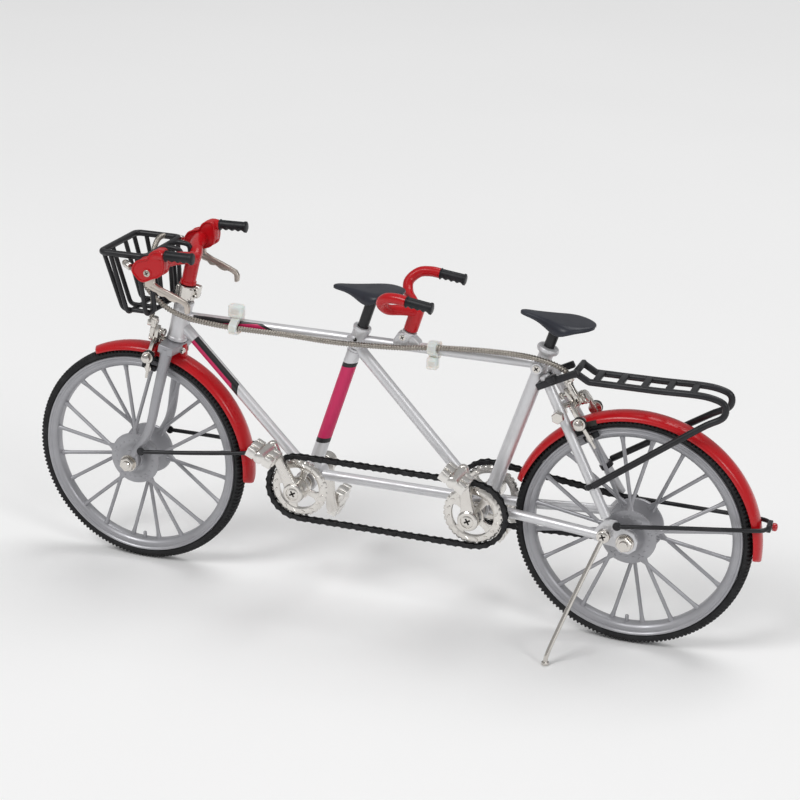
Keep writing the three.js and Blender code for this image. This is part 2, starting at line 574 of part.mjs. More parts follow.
function crank(bb, deg, style, ringPlane) {
  const { side } = style;
  const [px, pz] = crankPoint(bb, deg, CRANK_LENGTH);
  const pieces = [
    plate(beltOutline([bb.x, bb.z], 2.4, [px, pz], 1.7, 6), side * style.arm[0], side * style.arm[1]),
    disc(bb.x, bb.z, 3.1, side * style.boss, side * style.outer, 16),
    disc(px, pz, SPINDLE_R, side * (style.arm[1] - 0.5), side * (style.pedal[1] - SPINDLE_END), 10),
  ];
  if (ringPlane !== null) {
    const half = RING_THICK / 2;
    pieces.push(ring(bb.x, bb.z, RING_R - 2.5, RING_R, ringPlane - half, ringPlane + half, 20));
    for (let i = 0; i < 4; i++) {
      const end = crankPoint(bb, deg + 45 + 90 * i, RING_R - 1.3);
      pieces.push(plate(beltOutline([bb.x, bb.z], 1.2, end, 1, 3), ringPlane - half + 0.05, ringPlane + half - 0.05));
    }
  }
  return join(...pieces);
}

const leftAxleEnd = -(LEFT_BOSS_INNER - GAP);
part('front_crank_axle', disc(FRONT_BB.x, FRONT_BB.z, CRANK_AXLE_R, leftAxleEnd, LEFT_BOSS_INNER - GAP), nickel());
part('front_crank_left', crank(FRONT_BB, CRANK_DEG.frontLeft, LEFT_CRANK, TIMING_PLANE), nickel());
part('front_crank_right', crank(FRONT_BB, CRANK_DEG.frontRight, RIGHT_CRANK, null), nickel());
part('rear_crank_axle', disc(REAR_BB.x, REAR_BB.z, CRANK_AXLE_R, leftAxleEnd, DRIVE_BOSS_INNER - GAP), nickel());
part('rear_crank_left', crank(REAR_BB, CRANK_DEG.rearLeft, LEFT_CRANK, TIMING_PLANE), nickel());
part('rear_crank_right', crank(REAR_BB, CRANK_DEG.rearRight, DRIVE_CRANK, DRIVE_PLANE), nickel());

const PEDAL_LENGTH = 8;
const PEDAL_BORE_R = 1;

// A pedal lies along its own x; tilt is in degrees from level.
function pedal(bb, deg, { side, pedal: [inner, outer] }, tilt) {
  const [px, pz] = crankPoint(bb, deg, CRANK_LENGTH);
  const width = outer - inner;
  const blockX = PEDAL_LENGTH / 2 - 1.35;
  const blocks = [-1, 1].map((end) => box(2.7, width - 0.6, 2.5, end * blockX, 0, 0));
  const body = join(disc(0, 0, 1.75, -width / 2, width / 2, 14), box(6, width - 2, 1.6, 0, 0, 0), ...blocks);
  const boreEnd = side * (width / 2 - SPINDLE_END + 0.2);
  const bored = cut(body, disc(0, 0, PEDAL_BORE_R, -side * width, boreEnd, 10));
  const forward = v(Math.cos(radians(tilt)), 0, Math.sin(radians(tilt)));
  return placed(bored, forward, Y_AXIS, v(-forward.z, 0, forward.x), v(px, (side * (inner + outer)) / 2, pz));
}

part('pedal_front_left', pedal(FRONT_BB, CRANK_DEG.frontLeft, LEFT_CRANK, -25), nickel());
part('pedal_front_right', pedal(FRONT_BB, CRANK_DEG.frontRight, RIGHT_CRANK, 70), nickel());
part('pedal_rear_left', pedal(REAR_BB, CRANK_DEG.rearLeft, LEFT_CRANK, -30), nickel());
part('pedal_rear_right', pedal(REAR_BB, CRANK_DEG.rearRight, RIGHT_CRANK, 60), nickel());

// ---------------------------------------------------------------- chains
function chain(a, rA, b, rB, planeY) {
  const loop = (grow) => beltOutline([a.x, a.z], rA + grow, [b.x, b.z], rB + grow);
  const half = CHAIN_WIDTH / 2;
  return plate(loop(CHAIN_CLEARANCE + CHAIN_DEPTH), planeY - half, planeY + half, loop(CHAIN_CLEARANCE));
}

part('timing_chain', chain(FRONT_BB, RING_R, REAR_BB, RING_R, TIMING_PLANE), blackPlastic());
part('drive_chain', chain(REAR_BB, RING_R, REAR_HUB, SPROCKET_R, DRIVE_PLANE), blackPlastic());

// ---------------------------------------------------------------- brake calipers
const CALIPER_THICK = 1.2;
const CALIPER_BORE_R = 0.95;

// Drawn in the plane of the arms: u is across the bicycle, w is up from the bolt.
// Each arm also reaches up on the cable's side, where the cable pulls the pair together.
function caliperArm(side, plane, reach, cableSide) {
  const cableU = 2.6;
  const half = [
    [-1.6, 1.4], [1.5, 1.9], [5.4, 0.4], [6.1, -2], [5.3, -reach - 1.2],
    [4.1, -reach - 1.2], [4.3, -2.3], [1.2, -1.2], [-1.4, -1.2],
  ];
  const cableArm = [[0, 0.6], [cableU - 0.4, 4.6], [cableU + 1, 4.6], [cableU + 1.4, 1]].map(([u, w]) => [u * cableSide, w]);
  const arm = join(
    plate(half.map(([u, w]) => [side * u, w]), plane, plane + CALIPER_THICK),
    plate(cableArm, plane, plane + CALIPER_THICK),
  );
  const pad = box(1.3, 4.2, 1.5, side * 3.6, plane + CALIPER_THICK / 2, -reach);
  return cut(join(arm, pad), disc(0, 0, CALIPER_BORE_R, plane - 2, plane + 3, 12));
}

// axis is the way the bolt points; the left arm is the nearer one to the frame.
function caliper(name, origin, axis, reach, planes) {
  const facing = axis.x > 0 ? -1 : 1;
  const across = Y_AXIS.clone().multiplyScalar(facing);
  const up = axis.clone().cross(Y_AXIS).multiplyScalar(-facing);
  for (const [label, side, plane] of [['left', -1, planes[0]], ['right', 1, planes[1]]]) {
    const arm = caliperArm(side * facing, plane, reach, -facing);
    part(`${name}_caliper_${label}`, placed(arm, across, axis, up, origin), nickel());
  }
}

caliper('front', FRONT_BRAKE, STEER_FRONT, 8.6, [4.5, 6]);
caliper('rear', BRIDGE, BRAKE_BACK, 10.2, [4.4, 5.9]);

// ---------------------------------------------------------------- cables and ties
const FRONT_TIE = { x: -44, y: -2.7, z: 79 }; // where the cable passes through each tie
const REAR_TIE = { x: 17, y: -2.5, z: 81 };
const rearCableRoute = [
  v(-69.6, -17, 98.4), v(-71.8, -15.8, 98.9), v(-73.2, -12.4, 98), v(-73.2, -8.9, 95.4), v(-71.4, -6.6, 91),
  v(-68.2, -5.9, 86.8), v(-64, -5.5, 83.4), v(-58.6, -4.8, 81.1), v(-52, -3.5, 79.7),
  v(FRONT_TIE.x, FRONT_TIE.y, FRONT_TIE.z), v(-28, -2.8, 79.1), v(-14, -3.9, 79.2), v(-4, -3.9, 79.5), v(8, -3.4, 80.1),
  v(REAR_TIE.x, REAR_TIE.y, REAR_TIE.z), v(30, -2.5, 82), v(42, -3.3, 82.5),
  v(48.6, -4.3, 82.3), v(53.6, -4, 81), v(56.6, -3.8, 79.2), v(57.4, -3.6, 77.6),
];
const frontCableRoute = [
  v(-69.6, 17, 98.4), v(-71.6, 15.6, 99.8), v(-72.6, 12, 102.4), v(-72.2, 6.6, 103), v(-71.6, 1.6, 101.4),
  v(-71, -1, 97), v(-71, -1, 90), v(-71, -1, 83), v(-70.9, -1.6, 80.4), v(-70.7, -3.2, 77.4),
];
part('rear_brake_cable', bent(rearCableRoute, CABLE_R, 5, 44), braid());
part('front_brake_cable', bent(frontCableRoute, CABLE_R, 5, 22), braid());

// A tie is a strap round the top tube and the cable, with a locking head.
function cableTie(at, head) {
  const round = (grow) => beltOutline([0, TOP_TUBE_Z], TOP_TUBE_R + grow, [at.y, at.z], CABLE_R + grow, 8);
  const strap = plate(round(GAP + 0.7), -1.25, 1.25, round(GAP));
  const turnedStrap = placed(strap, Y_AXIS, v(-1, 0, 0), v(0, 0, 1), v(at.x, 0, 0));
  return join(turnedStrap, box(head.w, 2.8, head.h, head.x, head.y, head.z));
}

const frontTieHead = { w: 4.6, h: 3.8, x: FRONT_TIE.x, y: -0.8, z: TOP_TUBE_Z + TOP_TUBE_R + 2.6 };
const rearTieHead = { w: 3.2, h: 3.5, x: REAR_TIE.x, y: -2.4, z: TOP_TUBE_Z - TOP_TUBE_R - 1.7 };
part('cable_tie_front', cableTie(FRONT_TIE, frontTieHead), clearNylon());
part('cable_tie_rear', cableTie(REAR_TIE, rearTieHead), clearNylon());

// ---------------------------------------------------------------- stoker bar
const STOKER_BAR_R = 1.5;
const stokerSide = [
  v(11, -0.4, 90.6), v(8.4, -4.4, 91.6), v(5.4, -8.8, 92.8), v(4.6, -11.4, 95.2),
  v(7, -13.6, 97.5), v(10.4, -14.3, 97.9), v(12.6, -14.5, 97.6),
];
const stokerBar = join(
  rod(v(9.35, 0, STOKER_FOOT.high + 0.5), v(11.5, 0, 91.3), 2.05, 14),
  bent(stokerSide, STOKER_BAR_R, 7, 9),
  bent(mirrored(stokerSide), STOKER_BAR_R, 7, 9),
);
part('rear_handlebar', stokerBar, redPaint());
for (const [label, side] of [['left', -1], ['right', 1]]) {
  part(`rear_grip_${label}`, grip(v(13, side * 14.5, 97.5), v(20.6, side * 14.7, 96.5), 1.6), blackPlastic());
}

// ---------------------------------------------------------------- seatposts and saddles
const SADDLE = { length: 21.3, half: 7.5, thick: 1.3, bevel: 0.4 };
const POST_LENGTH = 24;

// tip is the nose of the saddle, on the middle plane; tailZ is the height of its rear edge.
function saddle(tip, tailZ) {
  const { length, half, thick, bevel } = SADDLE;
  const side = [
    [0, 1.1], [5, 1.5], [9, 2.3], [12, 4.4], [14, half - 0.8],
    [15.8, half], [17.8, half - 0.7], [length - 1.7, half / 2 + 1.2], [length - 0.3, 2.2],
  ];
  const corners = [...side, [length, 0], ...[...side].reverse().map(([x, y]) => [x, -y])];
  const shape = new THREE.Shape(corners.map(([x, y]) => new THREE.Vector2(x, y)));
  const depth = thick - 2 * bevel;
  const bevels = { bevelEnabled: true, bevelThickness: bevel, bevelSize: bevel, bevelOffset: -bevel, bevelSegments: 1 };
  const slab = new THREE.ExtrudeGeometry(shape, { depth, ...bevels });
  slab.translate(0, 0, bevel - thick);
  slab.rotateY(-Math.atan2(tailZ - tip.z, length));
  slab.translate(...tip.toArray());
  return solid(slab);
}

function seatPair(name, onSeat, tip, tailZ) {
  const seat = saddle(tip, tailZ);
  const along = (onSeat(tip.z).x - tip.x) / SADDLE.length;
  const poleTop = THREE.MathUtils.lerp(tip.z, tailZ, along) - SADDLE.thick / 2;
  const pole = rod(onSeat(poleTop - POST_LENGTH), onSeat(poleTop), POST_R, 14);
  const lowered = seat.translate([0, 0, -GAP]);
  part(`${name}_saddle`, seat, darkSaddle());
  part(`${name}_seatpost`, cut(pole, seat, lowered), blackPlastic());
}

seatPair('front', onFrontSeat, v(-14, 0, 95.6), 96);
seatPair('rear', onRearSeat, v(41.4, 0, 95), 93);

// ---------------------------------------------------------------- kickstand
const KICK_ROD_R = 0.7;
const kickRod = [v(70.6, -12, 35), v(69.3, -13, 31.5), v(62.4, -19.8, 12), v(59.4, -23.2, 2.4), v(59.2, -23.4, 0.7)];
const kickEye = disc(KICK_PIVOT.x, KICK_PIVOT.z, 1.9, -12.6, -10.5, 14);
const kickFoot = disc(0, 0, 1.1, 0, 0.9, 12);
const kickFootDown = placed(kickFoot, v(1, 0, 0), v(0, 0, 1), v(0, -1, 0), v(59.2, -23.4, 0));
part('kickstand', join(bent(kickRod, KICK_ROD_R, 6, 9), kickEye, kickFootDown), nickel());

export default tandem;
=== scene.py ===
import json
import math

import bmesh
import bpy
import numpy as np
from mathutils import Vector, Matrix


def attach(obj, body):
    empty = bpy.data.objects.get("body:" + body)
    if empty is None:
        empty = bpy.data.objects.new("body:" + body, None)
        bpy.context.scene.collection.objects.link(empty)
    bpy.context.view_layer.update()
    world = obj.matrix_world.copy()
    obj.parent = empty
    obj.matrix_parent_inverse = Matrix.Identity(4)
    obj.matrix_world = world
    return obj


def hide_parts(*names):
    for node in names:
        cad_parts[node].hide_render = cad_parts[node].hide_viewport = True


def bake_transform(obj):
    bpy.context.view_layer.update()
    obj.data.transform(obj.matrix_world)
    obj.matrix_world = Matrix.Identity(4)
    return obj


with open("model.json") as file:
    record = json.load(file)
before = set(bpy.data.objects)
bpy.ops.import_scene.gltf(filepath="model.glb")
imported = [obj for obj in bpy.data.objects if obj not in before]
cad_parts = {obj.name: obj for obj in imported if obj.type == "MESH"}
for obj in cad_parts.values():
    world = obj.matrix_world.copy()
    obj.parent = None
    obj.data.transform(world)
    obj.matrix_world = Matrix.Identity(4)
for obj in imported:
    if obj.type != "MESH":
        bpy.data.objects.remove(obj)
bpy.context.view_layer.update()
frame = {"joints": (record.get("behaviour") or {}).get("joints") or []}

# ---------------------------------------------------------------- the shared frame
# Shapes below are written in millimetres from the middle of the wheelbase.
JOINTS = {j["name"]: j for j in frame["joints"]}
WHEELBASE = 153.0
rear_hub = JOINTS["rear_wheel_spin"]["pos_m"]
SHIFT_X = rear_hub[0] * 1000 - WHEELBASE / 2
V = lambda x, y, z: np.array([x, y, z], float)
X_AXIS, Y_AXIS, Z_AXIS = V(1, 0, 0), V(0, 1, 0), V(0, 0, 1)
unit = lambda a: np.array(a, float) / np.linalg.norm(a)
metres = lambda p: ((np.asarray(p, float) + V(SHIFT_X, 0, 0)) * 0.001).tolist()
joint_at = lambda name: np.array(JOINTS[name]["pos_m"]) * 1000 - V(SHIFT_X, 0, 0)


def mirror(points):
    return [V(p[0], -p[1], p[2]) for p in points]


# ---------------------------------------------------------------- camera
LENS_MM, SENSOR_MM = 86.43, 36
CAMERA_AT = V(178.62, -486.13, 256.11)
CAM_AZ, CAM_EL, CAM_ROLL = (math.radians(a) for a in (19.49, 20.53, 1.06))
cam_back = V(math.sin(CAM_AZ) * math.cos(CAM_EL), -math.cos(CAM_AZ) * math.cos(CAM_EL), math.sin(CAM_EL))
cam_right = unit(np.cross(-cam_back, Z_AXIS))
cam_up = np.cross(cam_right, -cam_back)
right = cam_right * math.cos(CAM_ROLL) + cam_up * math.sin(CAM_ROLL)
up = cam_up * math.cos(CAM_ROLL) - cam_right * math.sin(CAM_ROLL)
camera = bpy.data.objects.new("camera", bpy.data.cameras.new("camera"))
bpy.context.scene.collection.objects.link(camera)
camera.data.lens, camera.data.sensor_width = LENS_MM, SENSOR_MM
camera.data.clip_start, camera.data.clip_end = 0.01, 50
basis = Matrix([[right[i], up[i], cam_back[i]] for i in range(3)]).to_4x4()
camera.matrix_world = Matrix.Translation(metres(CAMERA_AT)) @ basis
bpy.context.scene.camera = camera


# ---------------------------------------------------------------- mesh tools
class Shape:
    """Vertices in millimetres, faces, and a material index for each face."""

    def __init__(self):
        self.verts, self.faces, self.mats = [], [], []

    def add(self, verts, faces, mat=0):
        base = len(self.verts)
        self.verts.extend(np.asarray(verts, float).tolist())
        self.faces.extend([tuple(base + i for i in f) for f in faces])
        self.mats.extend([mat] * len(faces))
        return self

    def join(self, other, mat=None):
        base = len(self.verts)
        self.verts.extend(other.verts)
        self.faces.extend([tuple(base + i for i in f) for f in other.faces])
        self.mats.extend(other.mats if mat is None else [mat] * len(other.faces))
        return self


def skin(verts, n, closed=False, mat=0):
    """Faces between rings of n points each, with a cap at both ends unless the last ring meets the first."""
    m = len(verts) // n
    faces = [
        (i * n + k, i * n + (k + 1) % n, (i + 1) % m * n + (k + 1) % n, (i + 1) % m * n + k)
        for i in range(m if closed else m - 1) for k in range(n)
    ]
    if not closed:
        faces += [tuple(range(n))[::-1], tuple(range((m - 1) * n, m * n))]
    return Shape().add(verts, faces, mat)


def square_to(axis):
    """Two directions at right angles to an axis and to each other."""
    u = unit(np.cross(axis, Z_AXIS if abs(axis @ Z_AXIS) < 0.9 else X_AXIS))
    return u, np.cross(axis, u)


def circle(n, phase=0.0):
    """n angles evenly round a circle."""
    return [phase + 2 * math.pi * k / n for k in range(n)]


def side_point(centre, r, a, y=0.0):
    """A point at distance r and angle a from a centre, in the plane of the wheels, y mm across."""
    return V(centre[0] + r * math.cos(a), y, centre[2] + r * math.sin(a))


def side_axes(a):
    """Axes turned by a in the plane of the wheels: along, across the bicycle, and square to both."""
    return V(math.cos(a), 0, math.sin(a)), Y_AXIS, V(-math.sin(a), 0, math.cos(a))


def half_round(x, r, start, steps, length=1.0):
    """The round end of a flat outline, drawn as [x, z] pairs about (x, 0)."""
    turns = [start + math.pi * k / steps for k in range(steps + 1)]
    return [(x + r * length * math.cos(t), r * math.sin(t)) for t in turns]


def smooth_path(points, n):
    """n + 1 points along a centripetal Catmull-Rom curve through the points, evenly spaced."""
    pts = np.array(points, float)
    if len(pts) == 2:
        return pts[0] + np.linspace(0, 1, n + 1)[:, None] * (pts[1] - pts[0])
    ext = np.vstack([2 * pts[0] - pts[1], pts, 2 * pts[-1] - pts[-2]])
    out = []
    for i in range(1, len(ext) - 2):
        p0, p1, p2, p3 = ext[i - 1:i + 3]
        t0 = 0.0
        t1 = t0 + np.linalg.norm(p1 - p0) ** 0.5
        t2 = t1 + np.linalg.norm(p2 - p1) ** 0.5
        t3 = t2 + np.linalg.norm(p3 - p2) ** 0.5
        for t in np.linspace(t1, t2, 24, endpoint=False):
            a1 = (t1 - t) / (t1 - t0) * p0 + (t - t0) / (t1 - t0) * p1
            a2 = (t2 - t) / (t2 - t1) * p1 + (t - t1) / (t2 - t1) * p2
            a3 = (t3 - t) / (t3 - t2) * p2 + (t - t2) / (t3 - t2) * p3
            b1 = (t2 - t) / (t2 - t0) * a1 + (t - t0) / (t2 - t0) * a2
            b2 = (t3 - t) / (t3 - t1) * a2 + (t - t1) / (t3 - t1) * a3
            out.append((t2 - t) / (t2 - t1) * b1 + (t - t1) / (t2 - t1) * b2)
    out.append(pts[-1])
    out = np.array(out)
    step = np.r_[0, np.cumsum(np.linalg.norm(np.diff(out, axis=0), axis=1))]
    want = np.linspace(0, step[-1], n + 1)
    return np.stack([np.interp(want, step, out[:, k]) for k in range(3)], 1)


def path_length(path):
    return float(np.linalg.norm(np.diff(path, axis=0), axis=1).sum())


def path_frames(path, first=None):
    """Tangents and two normals carried along a path without twist."""
    tangent = np.gradient(path, axis=0)
    tangent /= np.linalg.norm(tangent, axis=1)[:, None]
    if first is None:
        first = Z_AXIS if abs(tangent[0] @ Z_AXIS) < 0.9 else X_AXIS
    normal = unit(first - (first @ tangent[0]) * tangent[0])
    normals = []
    for t in tangent:
        normal = unit(normal - (normal @ t) * t)
        normals.append(normal)
    normals = np.array(normals)
    return tangent, normals, np.cross(tangent, normals)


def sweep(points, r, sides=16, n=24, mat=0, first=None, squash=1.0, ends=0.25):
    """A bar along a smooth path. r is a number or a function of (share along, angle)."""
    path = smooth_path(points, n)
    _, normals, sides_dir = path_frames(path, first)
    rad = r if callable(r) else lambda t, a: r
    verts = []
    rings = [(0, 1 - ends)] + [(i, 1.0) for i in range(len(path))] + [(len(path) - 1, 1 - ends)]
    for i, shrink in rings:
        t = i / (len(path) - 1)
        for a in circle(sides):
            q = rad(t, a) * shrink
            verts.append(path[i] + q * (math.cos(a) * normals[i] + squash * math.sin(a) * sides_dir[i]))
    # the first and last rings stand out a little so that the ends are rounded
    tangent0, tangent1 = unit(path[1] - path[0]), unit(path[-1] - path[-2])
    base_r = rad(0.5, 0) * ends
    for k in range(sides):
        verts[k] = verts[k] - tangent0 * base_r * 0.6
        verts[-1 - k] = verts[-1 - k] + tangent1 * base_r * 0.6
    return skin(verts, sides, False, mat)


LEAST_R = 1e-4  # a profile point on the axis still has a ring of its own


def spin(profile, origin, axis=Y_AXIS, seg=40, mat=0, phase=0.0):
    """A turned shape from (radius, distance along the axis) pairs, closed if they end where they start."""
    axis = unit(axis)
    u, w = square_to(axis)
    closed = profile[0] == profile[-1]
    verts = [
        origin + axis * t + max(r, LEAST_R) * (math.cos(a) * u + math.sin(a) * w)
        for r, t in (profile[:-1] if closed else profile) for a in circle(seg, phase)
    ]
    return skin(verts, seg, closed, mat)


def rod(a, b, r, seg=28, mat=0, edge=0.15):
    """A straight round bar with softened ends."""
    a, b = np.array(a, float), np.array(b, float)
    length = np.linalg.norm(b - a)
    e = min(edge, r * 0.4, length * 0.3)
    return spin([(r - e, 0), (r, e), (r, length - e), (r - e, length)], a, b - a, seg, mat)


def from_bmesh(bm, place, mat):
    bm.verts.index_update()
    verts = [place(np.array(vert.co)) for vert in bm.verts]
    faces = [tuple(vert.index for vert in f.verts) for f in bm.faces]
    bm.free()
    return Shape().add(verts, faces, mat)


def placer(basis_axes, origin):
    bx, by, bz = basis_axes
    return lambda p: np.array(origin, float) + p[0] * bx + p[1] * by + p[2] * bz


WORLD = (X_AXIS, Y_AXIS, Z_AXIS)


def prism(outline, y0, y1, bevel=0.2, mat=0, axes=WORLD, origin=(0, 0, 0), segments=2):
    """A plate with softened edges, drawn as [x, z] pairs and standing from y0 to y1."""
    bm = bmesh.new()
    low, high = min(y0, y1), max(y0, y1)
    base = [bm.verts.new((x, low, z)) for x, z in outline]
    face = bm.faces.new(base)
    made = bmesh.ops.extrude_face_region(bm, geom=[face])
    top = [g for g in made["geom"] if isinstance(g, bmesh.types.BMVert)]
    bmesh.ops.translate(bm, verts=top, vec=(0, high - low, 0))
    if bevel:
        rim = [e for e in bm.edges if abs(e.verts[0].co.y - e.verts[1].co.y) < 1e-6]
        bmesh.ops.bevel(bm, geom=rim, offset=bevel, segments=segments, affect="EDGES", profile=0.5,
                        clamp_overlap=True)
    return from_bmesh(bm, placer(axes, origin), mat)


def block(w, d, h, at, bevel=0.25, mat=0, axes=WORLD, segments=2):
    bm = bmesh.new()
    bmesh.ops.create_cube(bm, size=1)
    bmesh.ops.scale(bm, vec=(w, d, h), verts=bm.verts)
    bmesh.ops.bevel(bm, geom=list(bm.edges), offset=bevel, segments=segments, affect="EDGES", profile=0.5)
    return from_bmesh(bm, placer(axes, at), mat)


MERGE = 2e-7  # metres: points closer than this are one point


def piece(name, shape, mats, body, replaces=(), sharp=38, ride=True):
    """One visible piece, from a shape in millimetres."""
    mesh = bpy.data.meshes.new(name)
    mesh.from_pydata([metres(p) for p in shape.verts], [], shape.faces)
    for m in mats if isinstance(mats, (list, tuple)) else [mats]:
        mesh.materials.append(m)
    mesh.polygons.foreach_set("material_index", shape.mats)
    bm = bmesh.new()
    bm.from_mesh(mesh)
    bmesh.ops.remove_doubles(bm, verts=bm.verts, dist=MERGE)
    bmesh.ops.recalc_face_normals(bm, faces=bm.faces)
    bm.to_mesh(mesh)
    bm.free()
    mesh.polygons.foreach_set("use_smooth", [True] * len(mesh.polygons))
    mesh.set_sharp_from_angle(angle=math.radians(sharp))
    obj = bpy.data.objects.new(name, mesh)
    bpy.context.scene.collection.objects.link(obj)
    if ride:
        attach(obj, body)
    if replaces:
        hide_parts(*([replaces] if isinstance(replaces, str) else replaces))
    return obj


# ---------------------------------------------------------------- materials
class Nodes:
    """A material's nodes, with short calls for the ones used here."""

    def __init__(self, name):
        self.material = bpy.data.materials.new(name)
        self.material.use_nodes = True
        self.tree = self.material.node_tree
        self.bsdf = next(n for n in self.tree.nodes if n.type == "BSDF_PRINCIPLED")
        self.coords = self.tree.nodes.new("ShaderNodeTexCoord").outputs["Object"]

    def set(self, **values):
        for key, value in values.items():
            self.bsdf.inputs[key.replace("_", " ")].default_value = value
        return self

    def link(self, a, b):
        self.tree.links.new(a, b)

    def noise(self, scale, detail=4, rough=0.55, stretch=None):
        node = self.tree.nodes.new("ShaderNodeTexNoise")
        node.inputs["Scale"].default_value = scale
        node.inputs["Detail"].default_value = detail
        node.inputs["Roughness"].default_value = rough
        source = self.coords
        if stretch:
            mapping = self.tree.nodes.new("ShaderNodeMapping")
            mapping.inputs["Scale"].default_value = stretch
            self.link(source, mapping.inputs["Vector"])
            source = mapping.outputs["Vector"]
        self.link(source, node.inputs["Vector"])
        return node.outputs["Fac"]

    def ramp(self, fac, stops):
        node = self.tree.nodes.new("ShaderNodeValToRGB")
        ramp = node.color_ramp
        while len(ramp.elements) < len(stops):
            ramp.elements.new(0.5)
        for element, (at, colour) in zip(ramp.elements, stops):
            element.position = at
            element.color = (*colour, 1) if isinstance(colour, tuple) else (colour, colour, colour, 1)
        self.link(fac, node.inputs["Fac"])
        return node.outputs["Color"]

    def math(self, op, a, b=None, c=None):
        node = self.tree.nodes.new("ShaderNodeMath")
        node.operation = op
        for i, value in enumerate((a, b, c)):
            if value is None:
                continue
            if isinstance(value, (int, float)):
                node.inputs[i].default_value = value
            else:
                self.link(value, node.inputs[i])
        return node.outputs[0]

    def mix(self, fac, a, b):
        node = self.tree.nodes.new("ShaderNodeMix")
        node.data_type = "RGBA"
        for socket, value in ((0, fac), (6, a), (7, b)):
            if isinstance(value, tuple):
                node.inputs[socket].default_value = (*value, 1)
            elif isinstance(value, (int, float)):
                node.inputs[socket].default_value = value
            else:
                self.link(value, node.inputs[socket])
        return node.outputs[2]

    def colour(self, source):
        self.link(source, self.bsdf.inputs["Base Color"])
        return self

    def rough(self, source):
        self.link(source, self.bsdf.inputs["Roughness"])
        return self

    def bump(self, height, distance, strength=0.5, also=None):
        node = self.tree.nodes.new("ShaderNodeBump")
        node.inputs["Strength"].default_value = strength
        node.inputs["Distance"].default_value = distance
        self.link(height, node.inputs["Height"])
        if also is not None:
            self.link(also, node.inputs["Normal"])
        self.link(node.outputs["Normal"], self.bsdf.inputs["Normal"])
        return node.outputs["Normal"]

    def dot(self, normal):
        """The distance in mm along a direction, measured from the middle of the wheelbase."""
        node = self.tree.nodes.new("ShaderNodeVectorMath")
        node.operation = "DOT_PRODUCT"
        self.link(self.coords, node.inputs[0])
        node.inputs[1].default_value = tuple(1000 * c for c in normal)
        return self.math("SUBTRACT", node.outputs["Value"], SHIFT_X * normal[0])

    def inside(self, *half_planes):
        """1 where every (direction, least distance) holds."""
        out = None
        for normal, least in half_planes:
            here = self.math("GREATER_THAN", self.dot(normal), least)
            out = here if out is None else self.math("MULTIPLY", out, here)
        return out


def metal_paint(name, base, dark, rough=(0.36, 0.52), metallic=0.6, coat=0.12, grain=2600, bump=0.00001):
    n = Nodes(name).set(Metallic=metallic, Coat_Weight=coat, Coat_Roughness=0.25)
    n.colour(n.mix(n.ramp(n.noise(60, 5), [(0.35, 0.0), (0.75, 0.6)]), base, dark))
    n.rough(n.ramp(n.noise(240, 6), [(0.3, rough[0]), (0.75, rough[1])]))
    fine = n.bump(n.noise(grain, 3), bump, 0.35)
    n.bump(n.noise(150, 4), bump * 6, 0.25, fine)
    return n


SILVER_BASE, SILVER_DARK = (0.72, 0.72, 0.735), (0.60, 0.60, 0.62)
silver = metal_paint("silver_paint", SILVER_BASE, SILVER_DARK).material
cast = metal_paint("cast_grey", (0.40, 0.40, 0.42), (0.29, 0.29, 0.31), (0.34, 0.52), 0.5, 0.0, 1400,
                   0.00002).material
red_nodes = metal_paint("red_paint", (0.52, 0.005, 0.010), (0.42, 0.003, 0.007), (0.24, 0.34), 0.0, 0.22, 900,
                        0.000006)
red_nodes.set(Coat_Roughness=0.1, Specular_IOR_Level=0.3)
red = red_nodes.material


def plated(name, base, dark, rough, scale=500):
    n = Nodes(name).set(Metallic=1.0)
    n.colour(n.mix(n.ramp(n.noise(scale * 0.3, 4), [(0.35, 0.0), (0.8, 0.55)]), base, dark))
    n.rough(n.ramp(n.noise(scale * 0.4, 4), [(0.3, rough[0]), (0.75, rough[1])]))
    n.bump(n.noise(scale * 0.5, 2), 0.000006, 0.1)
    return n.material


nickel = plated("nickel", (0.72, 0.69, 0.65), (0.55, 0.52, 0.48), (0.14, 0.28))
champagne = plated("champagne_nickel", (0.60, 0.545, 0.49), (0.46, 0.41, 0.37), (0.26, 0.42))
bright_nickel = plated("pedal_nickel", (0.82, 0.80, 0.77), (0.70, 0.68, 0.64), (0.24, 0.38))
old_nickel = plated("ring_nickel", (0.76, 0.735, 0.70), (0.60, 0.57, 0.53), (0.2, 0.34), 400)


def dull(name, base, light, rough, scale=900, bump=0.00003, coat=0.0):
    n = Nodes(name).set(Coat_Weight=coat, Coat_Roughness=0.3, Specular_IOR_Level=0.27)
    n.colour(n.mix(n.ramp(n.noise(scale * 0.2, 5), [(0.4, 0.0), (0.8, 1.0)]), base, light))
    n.rough(n.ramp(n.noise(scale * 0.5, 4), [(0.3, rough[0]), (0.75, rough[1])]))
    n.bump(n.noise(scale * 2, 3), bump, 0.4)
    return n


wire_black = dull("black_wire", (0.012, 0.012, 0.014), (0.028, 0.028, 0.032), (0.34, 0.5), 700, 0.00003,
                  0.2).material
grip_black = dull("grip_plastic", (0.010, 0.011, 0.013), (0.025, 0.026, 0.030), (0.32, 0.48), 1200).material
post_black = dull("post_plastic", (0.012, 0.012, 0.014), (0.024, 0.025, 0.028), (0.3, 0.45), 900, 0.00002,
                  0.2).material
saddle_black = dull("saddle_plastic", (0.020, 0.022, 0.031), (0.036, 0.039, 0.052), (0.34, 0.46), 500,
                    0.00003, 0.15).material
tyre_black = dull("tyre_rubber", (0.010, 0.010, 0.011), (0.024, 0.024, 0.026), (0.5, 0.7), 1500,
                  0.00005).material
chain_black = dull("chain_plastic", (0.010, 0.010, 0.011), (0.030, 0.030, 0.032), (0.4, 0.6), 1500,
                   0.00004).material
# Painted shade: a near-black material laid on screw slots, hex sockets, a hole in the seat lug and a notch in
# the rear fender, standing in for the shade inside them.
painted_shade = dull("painted_shade_dark", (0.02, 0.018, 0.016), (0.05, 0.045, 0.04), (0.5, 0.7)).material
